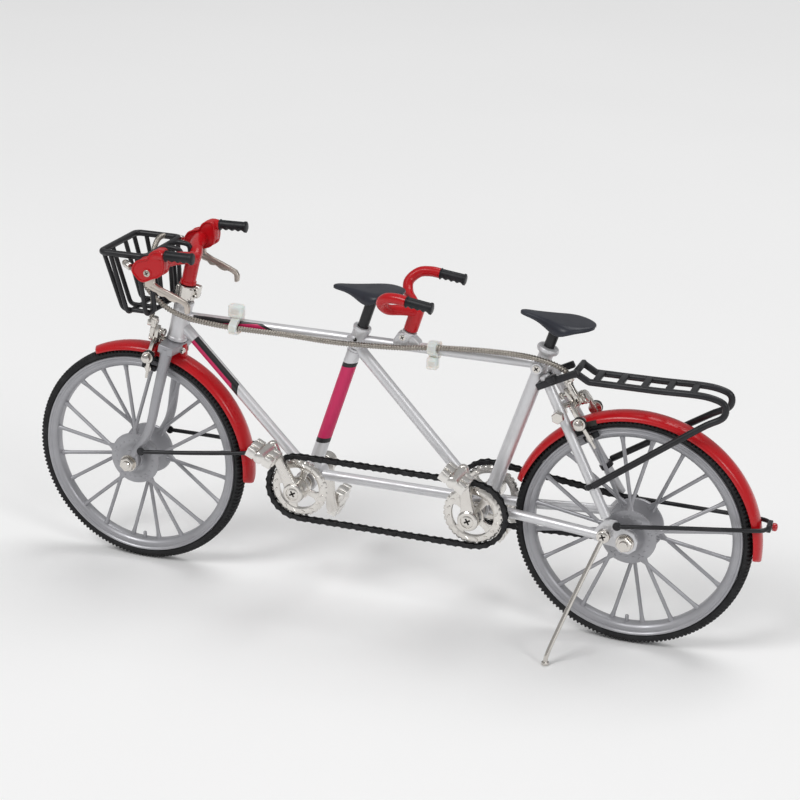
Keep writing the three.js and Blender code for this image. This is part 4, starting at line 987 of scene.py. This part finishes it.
reflector = spin([(1.05, 0), (1.15, 0.1), (1.15, 0.8), (0.95, 1.15), (0.5, 1.35), (0, 1.4)],
                 V(115.15, 0, 41.6), X_AXIS, 36)
piece("tail_reflector_lens", reflector, lens, "frame", "tail_reflector")

# ---------------------------------------------------------------- rack
RACK_R, RAIL_Y = 0.95, 4.2


def rack_rail(s, stay_y):
    front = [V(58.8, s * RAIL_Y, 79.9), V(62.6, s * RAIL_Y, 77.7), V(80, s * RAIL_Y, 77.8)]
    back = [front[-1], V(96.4, s * RAIL_Y, 77.8), V(100.2, s * 4.3, 76.2), V(100.2, s * 4.5, 73.2),
            V(95.2, s * 5.2, 69.9), V(66.8, s * stay_y, 49.9)]
    return wire(front, RACK_R, 1.8).join(sweep(back, RACK_R, 16, 110))


rack = rack_rail(-1, 10.2).join(rack_rail(1, 11.3))
rack.join(rod(V(58.8, -4.9, 79.9), V(58.8, 4.9, 79.9), RACK_R, 20))
for i in range(5):
    x = 64.5 + i * (91.1 - 64.5) / 4
    rack.join(block(1.9, 8.4, 1.3, V(x, 0, 78.1), 0.45, 0, segments=3))
bracket_axes = (unit(V(0.89, 0, 0.456)), Y_AXIS, unit(V(-0.456, 0, 0.89)))
for side in (-1, 1):
    long = 12.6 if side < 0 else 8.0
    rack.join(block(long, 1.5, 1.9, V(48.6 + long * 0.445, side * 6.3, 75.0 + long * 0.228), 0.3, 0,
                    bracket_axes))
    if side < 0:  # only the near bracket shows its lug and its bolt
        rack.join(sweep([V(58.8, -4.2, 79.2), V(58.9, -5.2, 79.8), V(59.2, -6.2, 80.2)], 0.85, 14, 8))
        bolt = [(1.5, -0.9), (1.75, -0.7), (1.75, 0.7), (1.5, 0.9), (0, 0.95)]
        rack.join(spin(bolt, V(52.6, -6.3, 77.9), bracket_axes[2], 28))
rack.join(block(2.0, 12.4, 1.5, V(49.4, 0, 75.6), 0.35, 0, bracket_axes))
for s, y in ((-1, 8.6), (1, 9.9)):
    rack.join(spin([(1.55, -0.8), (1.95, -0.7), (1.95, 0.7), (1.55, 0.8), (1.55, -0.8)],
                   V(65.9, s * (y - 1.1), 48.9), unit(V(0.53, s * 0.12, -0.83)), 32))
piece("rear_rack_frame", rack, wire_black, "frame", "rear_rack", 50)

# ---------------------------------------------------------------- cranks, rings and pedals
CRANK = 15.0  # from the axle to the pedal's spindle
RING_R, SPROCKET_R, SPROCKET_TEETH = 8.75, 5.2, 13
TIMING_Y, DRIVE_Y = -10.0, 6.8  # where the two chains run
DEG = {"front_left": 116.5, "front_right": 276.0, "rear_left": 98.0, "rear_right": 278.0}


def crank_arm(bb, deg, s, arm, boss, outer, spindle_end):
    """A tapering arm with rounded shoulders, its boss, and the pedal's spindle."""
    a = math.radians(deg)
    outline = half_round(0, 2.35, math.pi / 2, 12) + [(4.0, -1.75), (11.5, -1.35)]
    outline += half_round(CRANK, 1.6, -math.pi / 2, 10) + [(11.5, 1.35), (4.0, 1.75)]
    centre = V(bb[0], 0, bb[2])
    out = prism(outline, s * arm[0], s * arm[1], 0.45, 0, side_axes(a), centre, 3)
    face = V(0, s, 0)
    out.join(spin([(2.2, boss), (3.0, boss + 0.1), (3.1, boss + 0.5), (3.1, outer - 0.7),
                   (2.95, outer - 0.25), (2.6, outer), (2.0, outer), (1.9, outer - 0.25), (0, outer - 0.25)],
                   centre, face, 44))
    out.join(cross_screw(centre + face * (outer - 0.35), face, 1.75, 0.35, 0.5, (0, 1)))
    tip = side_point(bb, CRANK, a)
    out.join(spin([(1.2, arm[1] - 0.3), (1.25, arm[1] + 0.2), (1.0, arm[1] + 0.35), (0.9, arm[1] + 0.4),
                   (0.9, spindle_end), (0.6, spindle_end + 0.1)], tip, face, 24))
    return out


RING_TEETH, RING_STUDS = 32, 16


def ring_shape(bb, deg, plane):
    """A chainring: a toothed rim with raised studs on its face and four spokes."""
    centre = V(bb[0], plane, bb[2])
    prof = [(6.3, -0.5), (6.5, -0.62), (7.9, -0.62), (8.2, -0.45), (8.75, -0.25), (8.75, 0.25), (8.2, 0.45),
            (7.9, 0.62), (6.5, 0.62), (6.3, 0.5)]
    verts = []
    for r, y in prof:
        for k, a in enumerate(circle(RING_TEETH * 6)):
            q = r - (0.35 if r > 8.5 and k % 6 in (0, 5) else 0)
            verts.append(side_point(centre, q, a, plane + y))
    out = skin(verts, RING_TEETH * 6, True)
    for k in range(RING_STUDS):
        a = 2 * math.pi * (k + 0.5) / RING_STUDS
        for side in (-1, 1):
            at = side_point(centre, 7.25, a, plane + side * 0.68)
            out.join(block(1.25, 0.3, 0.42, at, 0.1, 0, side_axes(a + 0.9), 1))
    spoke = [(1.0, 1.5), (3.4, 0.95), (5.2, 1.0), (6.9, 2.1), (6.9, -2.1), (5.2, -1.0), (3.4, -0.95),
             (1.0, -1.5)]
    for k in range(4):
        out.join(prism(spoke, -0.5, 0.5, 0.2, 0, side_axes(math.radians(deg + 45 + 90 * k)), centre))
    out.join(spin([(1.8, -0.9), (3.4, -0.8), (3.5, 0), (3.4, 0.8), (1.8, 0.9), (1.8, -0.9)], centre, Y_AXIS,
                  40))
    return out


LEFT = dict(s=-1, arm=(12.9, 15.0), boss=8.9, outer=15.5, spindle_end=23.6)
RIGHT = dict(s=1, arm=(10.8, 12.6), boss=8.9, outer=13.2, spindle_end=21.5)
DRIVE = dict(RIGHT, boss=5.9)
for name, bb, style, plane in (
    ("front_left", FRONT_BB, LEFT, TIMING_Y),
    ("front_right", FRONT_BB, RIGHT, None),
    ("rear_left", REAR_BB, LEFT, TIMING_Y),
    ("rear_right", REAR_BB, DRIVE, DRIVE_Y),
):
    end, side_name = name.split("_")
    shape = crank_arm(bb, DEG[name], **style)
    if plane is not None:
        shape.join(ring_shape(bb, DEG[name], plane))
    piece(f"{end}_crank_{side_name}_forged", shape, [old_nickel, painted_shade], f"{end}_crankset",
          f"{end}_crank_{side_name}", 32)
for end, bb, right_end in (("front", FRONT_BB, 8.6), ("rear", REAR_BB, 5.6)):
    axle = rod(V(bb[0], -8.6, bb[2]), V(bb[0], right_end, bb[2]), 1.6, 32)
    axle.join(spin([(1.6, 0), (2.5, 0.1), (2.5, 0.9), (1.6, 1.0)], V(bb[0], -6.9, bb[2]), Y_AXIS, 36))
    piece(f"{end}_crank_axle_turned", axle, nickel, f"{end}_crankset", f"{end}_crank_axle")


def pedal_shape(at, width, tilt, s):
    """Two ribbed blocks on a barrel, with end plates and a round cap."""
    axes = side_axes(math.radians(tilt))
    put = placer(axes, at)
    out = spin([(1.05, -width / 2 + 0.1), (1.7, -width / 2 + 0.1), (1.75, 0), (1.7, width / 2 - 0.4),
                (1.2, width / 2), (0, width / 2)] if s > 0 else
               [(0, -width / 2), (1.2, -width / 2), (1.7, -width / 2 + 0.4), (1.75, 0),
                (1.7, width / 2 - 0.1), (1.05, width / 2 - 0.1)], at, Y_AXIS, 32)
    for end in (-1, 1):
        out.join(block(2.3, width - 0.6, 2.3, put((end * 2.8, 0, 0)), 0.1, 0, axes))
        for y, long, wide, tall in ((-width * 0.36, 1.7, 2.5, 2.8), (0, 2.9, 2.7, 3.2),
                                    (width * 0.36, 1.7, 2.5, 2.8)):
            out.join(block(wide, long, tall, put((end * 2.8, y, 0)), 0.09, 0, axes))
    for y in (-width / 2 + 0.55, width / 2 - 0.55):
        out.join(block(6.6, 0.7, 2.0, put((0, y, 0)), 0.2, 0, axes))
    out.join(spin([(1.3, 0), (1.3, 0.5), (1.1, 0.7), (0, 0.72)], put((0, s * (width / 2 - 0.75), 0)),
                  V(0, s, 0), 28))
    return out


for name, bb, inner, outer, tilt in (
    ("front_left", FRONT_BB, 16.2, 24.5, -25), ("front_right", FRONT_BB, 13.7, 22.4, 70),
    ("rear_left", REAR_BB, 16.2, 24.5, -30), ("rear_right", REAR_BB, 13.7, 22.4, 60),
):
    s = -1 if name.endswith("left") else 1
    at = side_point(bb, CRANK, math.radians(DEG[name]), s * (inner + outer) / 2)
    piece(f"pedal_{name}_blocks", pedal_shape(at, outer - inner, tilt, s), bright_nickel, f"pedal_{name}",
          f"pedal_{name}", 40)

# rear sprocket
verts = []
for r, y in [(1.4, -0.45), (4.3, -0.45), (SPROCKET_R, -0.25), (SPROCKET_R, 0.25), (4.3, 0.45), (1.4, 0.45)]:
    for k, a in enumerate(circle(SPROCKET_TEETH * 6)):
        q = r - (0.5 if r > 5 and k % 6 in (0, 1, 5) else 0)
        verts.append(side_point(REAR_HUB, q, a, DRIVE_Y + y))
sprocket = skin(verts, SPROCKET_TEETH * 6, True)
sprocket.join(spin([(1.4, 6.3), (2.4, 6.3), (2.5, 6.5), (2.5, 8.6), (2.3, 8.9), (1.4, 8.9), (1.4, 6.3)],
                   V(REAR_HUB[0], 0, REAR_HUB[2]), Y_AXIS, 32))
piece("rear_sprocket_cut", sprocket, old_nickel, "sprocket", "rear_sprocket")


# ---------------------------------------------------------------- chains
def belt_path(c1, r1, c2, r2):
    """Points round two circles, closed, as (x, z), evenly spaced along each arc."""
    d = math.hypot(c2[0] - c1[0], c2[1] - c1[1])
    heading = math.atan2(c2[1] - c1[1], c2[0] - c1[0])
    spread = math.acos((r1 - r2) / d)
    pts = []
    for i in range(61):
        a = heading + spread + i / 60 * (2 * math.pi - 2 * spread)
        pts.append((c1[0] + r1 * math.cos(a), c1[1] + r1 * math.sin(a)))
    for i in range(61):
        a = heading - spread + i / 60 * 2 * spread
        pts.append((c2[0] + r2 * math.cos(a), c2[1] + r2 * math.sin(a)))
    pts.append(pts[0])
    return np.array(pts)


def chain_shape(a, ra, b, rb, plane, pitch=2.3):
    """Roller links: side plates with round ends, alternately wide and narrow, over their rollers."""
    pts = belt_path((a[0], a[2]), ra + 0.93, (b[0], b[2]), rb + 0.93)
    s = np.r_[0, np.cumsum(np.hypot(*np.diff(pts, axis=0).T))]
    count = 2 * round(s[-1] / pitch / 2)
    out = Shape()
    ways = [s[-1] * ((k % count) / count) for k in range(count + 1)]
    where = [np.array([np.interp(way, s, pts[:, i]) for i in (0, 1)]) for way in ways]
    h = 0.74  # half a link's height
    for k in range(count):
        p, q = where[k], where[k + 1]
        mid = (p + q) / 2
        d = (q - p) / np.linalg.norm(q - p)
        along, across = V(d[0], 0, d[1]), V(-d[1], 0, d[0])
        w = 0.88 if k % 2 else 0.62
        length = np.linalg.norm(q - p)
        outline = half_round(-length / 2, h, math.pi / 2, 6, 0.95) + [(0, -h * 0.74)]
        outline += half_round(length / 2, h, -math.pi / 2, 6, 0.95) + [(0, h * 0.74)]
        axes = (along, Y_AXIS, across)
        centre = V(mid[0], plane, mid[1])
        for side in (-1, 1):
            out.join(prism(outline, side * w - 0.13, side * w + 0.13, 0.06, 0, axes, centre, 1))
        out.join(rod(V(p[0], plane - 0.92, p[1]), V(p[0], plane + 0.92, p[1]), 0.4, 10, 0, 0.08))
    return out


piece("timing_chain_links", chain_shape(FRONT_BB, RING_R, REAR_BB, RING_R, TIMING_Y), chain_black, "frame",
      "timing_chain", 40)
piece("drive_chain_links", chain_shape(REAR_BB, RING_R, REAR_HUB, SPROCKET_R, DRIVE_Y), chain_black, "frame",
      "drive_chain", 40)


# ---------------------------------------------------------------- brake calipers
def caliper_shape(facing, side, plane, reach, far):
    """One arm in its own frame: x across the bicycle, y along the bolt, z up."""
    g = facing
    half = [(-1.7, 0.2), (-1.5, 1.4), (0, 2.0), (1.8, 1.9), (4.2, 1.2), (5.6, 0.2), (6.15, -1.8), (6.0, -4),
            (5.35, -reach - 0.9),
            (4.9, -reach - 1.2), (4.3, -reach - 1.1), (4.15, -reach), (4.6, -4), (4.4, -2.4), (3.2, -1.5),
            (1.2, -1.5), (-0.6, -1.6), (-1.5, -0.9)]
    out = prism([(side * g * u, w) for u, w in half], plane, plane + 1.2, 0.25, 0, segments=2)
    cable = [(0, 0.4), (2.0, 3.8), (2.5, 5.0), (3.6, 5.1), (4.1, 4.2), (3.9, 1.2)]
    out.join(prism([(-g * u, w) for u, w in cable], plane, plane + 1.2, 0.22))
    mid = plane + 0.6
    u_pad = side * g * 3.75
    # shoe: dark block, its holder, a washer stack and an acorn nut
    out.join(block(1.2, 4.6, 1.6, V(u_pad - side * g * 0.2, mid + 0.2, -reach), 0.25, 1))
    inward = V(-side * g, 0, 0)
    out.join(spin([(0.7, 0), (1.05, 0.1), (1.05, 0.7), (0.6, 0.95), (0, 1.0)], V(side * g * 4.3, mid, -reach),
                  -inward, 20))
    start = V(side * g * 5.6, mid, -reach * 0.5)
    out.join(spin([(0.9, -0.4), (1.9, -0.3), (1.9, 0.3), (1.2, 0.4), (1.2, 0.6)], start, -inward, 28))
    out.join(spin([(1.2, 0.55), (2.0, 0.6), (2.0, 1.0), (1.2, 1.05)], start, -inward, 28, 1))
    out.join(spin([(1.1, 1.0), (1.75, 1.05), (1.75, 1.5), (1.1, 1.6), (1.1, 1.9), (1.3, 2.0), (1.3, 2.9),
                   (0.7, 3.3), (0, 3.4)], start, -inward, 28))
    tail = [(side * g * u, w) for u, w in ((4.1, -reach), (5.3, -reach), (5.1, -reach - 3.2),
                                           (4.5, -reach - 3.2))]
    out.join(prism(tail, plane + 0.2, plane + 1.0, 0.2))
    # the pivot washer
    out.join(spin([(0.95, -0.15), (1.9, -0.1), (1.9, 0.05), (0.95, 0.1)],
                  V(0, plane + (1.25 if far else -0.05), 0), Y_AXIS, 32))
    return out


def place_shape(shape, axes, origin):
    put = placer(axes, origin)
    shape.verts = [put(p).tolist() for p in shape.verts]
    return shape


for name, origin, axis, reach, planes in (
    ("front", steer(70.8), STEER_FRONT, 8.6, (4.5, 6.0)),
    ("rear", BRIDGE, BRAKE_BACK, 10.2, (4.4, 5.9)),
):
    facing = -1 if axis[0] > 0 else 1
    across = Y_AXIS * facing
    brake_up = np.cross(axis, Y_AXIS) * -facing
    axes = (across, axis, brake_up)
    for label, side, plane in (("left", -1, planes[0]), ("right", 1, planes[1])):
        shape = caliper_shape(facing, side, plane, reach, label == "right")
        # cable hardware on the end of each arm that reaches up
        top = V(-facing * 3.1, plane + 0.6, 4.7)
        if label == "right":
            shape.join(knurled(top + V(0, 0, 0.6), Z_AXIS, 1.2, 1.3, 14))
            shape.join(rod(top + V(0, 0, -2.6), top + V(0, 0, 2.6), 1.0, 24))
            shape.join(knurled(V(0, plane + 1.3, 0), Y_AXIS, 1.9, 0.9, 20))
        else:
            shape.join(rod(top + V(0, -1.4, -1.2), top + V(0, 1.5, -1.2), 0.7, 18))
            shape.join(hex_nut(top + V(0, -1.7, -1.2), -Y_AXIS, 1.15, 0.8, 0.2))
            shape.join(cross_screw(top + V(0, 1.4, -1.2), Y_AXIS, 1.0, 0.35, 0.3, (0, 2)))
        piece(f"{name}_caliper_{label}_arm", place_shape(shape, axes, origin), [nickel, grip_black, painted_shade],
              f"{name}_caliper_{label}", f"{name}_caliper_{label}", 35)


# ---------------------------------------------------------------- cables and ties
def braided(points, r=0.86, pitch=0.8, sides=14):
    """A sleeve whose surface is wound with fine ridges."""
    length = path_length(smooth_path(points, 200))
    rings = int(length / pitch * 6)
    ridge = lambda t, a: r - 0.13 + 0.13 * math.cos(2 * math.pi * (t * length / pitch) + a)
    return sweep(points, ridge, sides, rings)


rear_route = [
    V(-69.6, -17, 98.4), V(-71.8, -15.8, 98.9), V(-73.2, -12.4, 98), V(-73.2, -8.9, 95.4), V(-71.4, -6.6, 91),
    V(-68.2, -5.9, 86.8), V(-64, -5.5, 83.4), V(-58.6, -4.8, 81.1), V(-52, -3.5, 79.7),
    V(-44, -2.7, 79), V(-28, -2.8, 79.1), V(-14, -3.9, 79.2), V(-4, -3.9, 79.5), V(8, -3.4, 80.1),
    V(17, -2.5, 81), V(30, -2.5, 82),
    V(42, -3.3, 82.5), V(48.6, -4.3, 82.3), V(53.6, -4, 81), V(56.6, -3.8, 79.2), V(57.4, -3.6, 77.6),
]
front_route = [
    V(-69.4, 17, 97.8), V(-71.6, 15.6, 98.6), V(-72.8, 12, 99.9), V(-72.6, 7, 100.3), V(-71.8, 2.4, 98.6),
    V(-71.1, -0.6, 95), V(-71, -1, 90), V(-71, -1, 83), V(-70.9, -1.6, 80.4), V(-70.7, -3.2, 77.4),
]
rear_cable = braided(rear_route)
end_dir = unit(rear_route[-1] - rear_route[-2])
rear_cable.join(spin([(0.9, 0), (1.0, 0.1), (1.0, 1.6), (0.7, 1.8), (0.4, 1.9)],
                     rear_route[-1] - end_dir * 1.2, end_dir, 24, 1))
rear_cable.join(spin([(0.9, 0), (1.05, 0.1), (1.05, 2.0), (0.9, 2.2)], rear_route[0],
                     unit(rear_route[1] - rear_route[0]), 24, 1))
obj = piece("rear_brake_cable_sleeve", rear_cable, [braid, nickel], "frame", "rear_brake_cable",
            60, ride=False)
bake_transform(obj)
front_cable = braided(front_route)
front_cable.join(spin([(0.9, 0), (1.05, 0.1), (1.05, 2.0), (0.9, 2.2)], front_route[0],
                      unit(front_route[1] - front_route[0]), 24, 1))
down_end = unit(front_route[-1] - front_route[-2])
front_cable.join(spin([(0.9, 0), (1.1, 0.1), (1.1, 1.6), (0.8, 1.8)], front_route[-1] - down_end * 1.0,
                      down_end, 24, 1))
piece("front_brake_cable_sleeve", front_cable, [braid, nickel], "steerer", "front_brake_cable",
      60)


def strap_outline(at, grow):
    """A loop round the top tube and the cable, grown outwards, as [y, z] pairs."""
    return belt_path((0, TOP_Z), 1.5 + grow, (at[1], at[2]), 0.85 + grow)[:-1:6]


def tie_shape(at, head_w, head_h, head_y, head_z):
    """A nylon strap round the tube and the cable, with its locking head and cut tail."""
    outer, inner = strap_outline(at, GAP + 0.75), strap_outline(at, GAP * 0.4)
    verts = []
    for x, ring in ((-1.2, outer), (1.2, outer), (1.2, inner), (-1.2, inner)):
        verts += [V(at[0] + x, p[0], p[1]) for p in ring]
    out = skin(verts, len(outer), True)
    out.join(block(head_w, 2.8, head_h, V(at[0], head_y, head_z), 0.6, 0, segments=4))
    out.join(block(head_w * 0.5, 2.9, head_h * 0.4, V(at[0], head_y, head_z), 0.15, 0))
    for k in range(5):
        out.join(block(1.5, 0.14, 0.16, V(at[0], at[1] - 0.85 - GAP - 0.62, at[2] - 1 + k * 0.45), 0.04, 0,
                       segments=1))
    return out


piece("cable_tie_front_strap", tie_shape(V(-44, -2.7, 79), 4.6, 3.8, -0.8, TOP_Z + 4.1), nylon, "frame",
      "cable_tie_front", 40)
piece("cable_tie_rear_strap", tie_shape(V(17, -2.5, 81), 3.2, 3.5, -2.4, TOP_Z - 3.2), nylon, "frame",
      "cable_tie_rear", 40)

# ---------------------------------------------------------------- stoker bar
stoker_side = [V(11.3, -0.2, 90.4), V(8.4, -4.4, 91.6), V(5.4, -8.8, 92.8), V(4.6, -11.4, 95.2),
               V(7, -13.6, 97.5), V(10.4, -14.3, 97.9), V(12.9, -14.5, 97.6)]
stoker = rod(V(9.35, 0, 84.5), V(11.5, 0, 91.4), 2.05, 36, 0, 0.3)
for side in (stoker_side, mirror(stoker_side)):
    stoker.join(sweep(side, 1.5, 24, 50))
piece("rear_handlebar_bent", stoker, red, "frame", "rear_handlebar", 40)
for label, s in (("left", -1), ("right", 1)):
    piece(f"rear_grip_{label}_moulded", grip_shape(V(13.1, s * 14.5, 97.5), V(20.5, s * 14.7, 96.5), 1.5, 4),
          grip_black, "frame", f"rear_grip_{label}", 50)


# ---------------------------------------------------------------- seatposts and saddles
def saddle_shape(tip, tail_z, length=21.3):
    """A moulded saddle: a narrow nose, a crowned top, and skirts that turn down at the sides."""
    stations = [(0.0, 0.5), (0.3, 1.0), (1.2, 1.5), (3, 2.0), (5, 2.7), (7, 3.7), (9, 4.9), (11, 6.2),
                (12.4, 7.0),
                (13.6, 7.35), (15, 7.3), (16.6, 6.6), (18.2, 5.5), (19.6, 4.2), (20.6, 2.9), (21.1, 1.8),
                (21.3, 0.9)]
    cols = 17
    verts = []
    for x, w in stations:
        z = tip[2] + (tail_z - tip[2]) * x / length
        end = min(1.0, x / 1.6, (length - x) / 2.2 + 0.25)
        skirt = (0.5 + 2.3 * math.exp(-((x - 11.5) / 4.6) ** 2)) * max(0.4, end)
        top = []
        for k in range(cols):
            u = -1 + 2 * k / (cols - 1)
            crown = 0.35 * (1 - u * u)
            drop = skirt * max(0.0, (abs(u) - 0.5) / 0.5) ** 1.5
            top.append(V(tip[0] + x, w * math.sin(u * math.pi / 2),
                         z - 0.5 + crown * min(1, end + 0.2) - drop))
        low = []
        for k in range(cols):
            u = 1 - 2 * k / (cols - 1)
            base = top[cols - 1 - k]
            low.append(V(base[0], base[1] * 0.93, base[2] - 0.6))
        verts += top + low
    return skin(verts, 2 * cols)


for label, seat, tip, tail in (("front", front_seat, V(-14, 0, 95.6), 96.0),
                               ("rear", rear_seat, V(41.4, 0, 95.0), 93.0)):
    shell = piece(f"{label}_saddle_shell", saddle_shape(tip, tail), saddle_black, f"{label}_saddle_set",
                  f"{label}_saddle", 75)
    smooth = shell.modifiers.new("smooth", "SUBSURF")
    smooth.levels = smooth.render_levels = 2
    bpy.context.view_layer.objects.active = shell
    dg = bpy.context.evaluated_depsgraph_get()
    shell.data = bpy.data.meshes.new_from_object(shell.evaluated_get(dg))
    shell.modifiers.clear()
    top_z = tip[2] - 1.6 + (tail - tip[2]) * 0.6
    post = rod(seat(top_z - 23), seat(top_z - 0.2), 1.55, 36)
    post.join(spin([(1.55, 0), (1.75, 0.3), (2.6, 1.6), (2.7, 2.0), (1.2, 2.1)], seat(top_z - 2.4), SEAT_UP,
                   36))
    piece(f"{label}_seatpost_round", post, post_black, f"{label}_saddle_set", f"{label}_seatpost")

# ---------------------------------------------------------------- kickstand
kick = sweep([V(70.6, -12, 35), V(69.3, -13, 31.5), V(62.4, -19.8, 12), V(59.4, -23.2, 2.4),
              V(59.2, -23.4, 0.7)], 0.66, 16, 60)
kick.join(spin([(0.8, 0), (1.8, 0.05), (1.95, 0.3), (1.95, 1.7), (1.8, 2.0), (0.8, 2.1)],
               V(70.9, -10.5, 36.2), -Y_AXIS, 36))
kick.join(cross_screw(V(70.9, -12.35, 36.2), -Y_AXIS, 1.55, 0.5, 0.35, (0, 1)))
kick.join(spin([(0.6, 0), (1.0, 0), (1.1, 0.12), (1.05, 0.7), (0.7, 0.95), (0, 1.0)], V(59.2, -23.4, 0),
               Z_AXIS, 24))
piece("kickstand_rod", kick, [nickel, painted_shade], "kickstand", "kickstand")

# ---------------------------------------------------------------- studio
stage_mat = Nodes("studio_floor").set(Roughness=0.6, Specular_IOR_Level=0.2)
stage_mat.colour(stage_mat.ramp(stage_mat.noise(3, 2), [(0.3, (0.93, 0.93, 0.93)),
                                                        (0.7, (0.95, 0.95, 0.95))]))
floor_mesh = bpy.data.meshes.new("floor")
FLOOR = 12.0
floor_mesh.from_pydata([(-FLOOR, -FLOOR, 0), (FLOOR, -FLOOR, 0), (FLOOR, FLOOR, 0), (-FLOOR, FLOOR, 0)], [],
                       [(0, 1, 2, 3)])
floor_mesh.materials.append(stage_mat.material)
floor = bpy.data.objects.new("floor", floor_mesh)
floor.location.z = -0.0002  # just under the tyres
bpy.context.scene.collection.objects.link(floor)

WORLD_LIGHT = 0.34
world = bpy.data.worlds.new("studio")
world.use_nodes = True
world.node_tree.nodes["Background"].inputs["Color"].default_value = (1, 1, 1, 1)
world.node_tree.nodes["Background"].inputs["Strength"].default_value = WORLD_LIGHT
bpy.context.scene.world = world
bpy.context.scene.view_settings.view_transform = "Standard"


def area_light(name, at, size, power):
    data = bpy.data.lights.new(name, "AREA")
    data.shape, data.size, data.energy = "DISK", size, power
    obj = bpy.data.objects.new(name, data)
    bpy.context.scene.collection.objects.link(obj)
    obj.location = at
    obj.rotation_euler = (Vector((0, 0, 0.05)) - Vector(at)).to_track_quat("-Z", "Y").to_euler()


area_light("key", (-1.3, -2.2, 3.0), 1.6, 58.0)
area_light("top", (0.6, 1.2, 3.2), 2.2, 38.0)
area_light("side", (2.2, -1.2, 1.4), 0.8, 14.0)
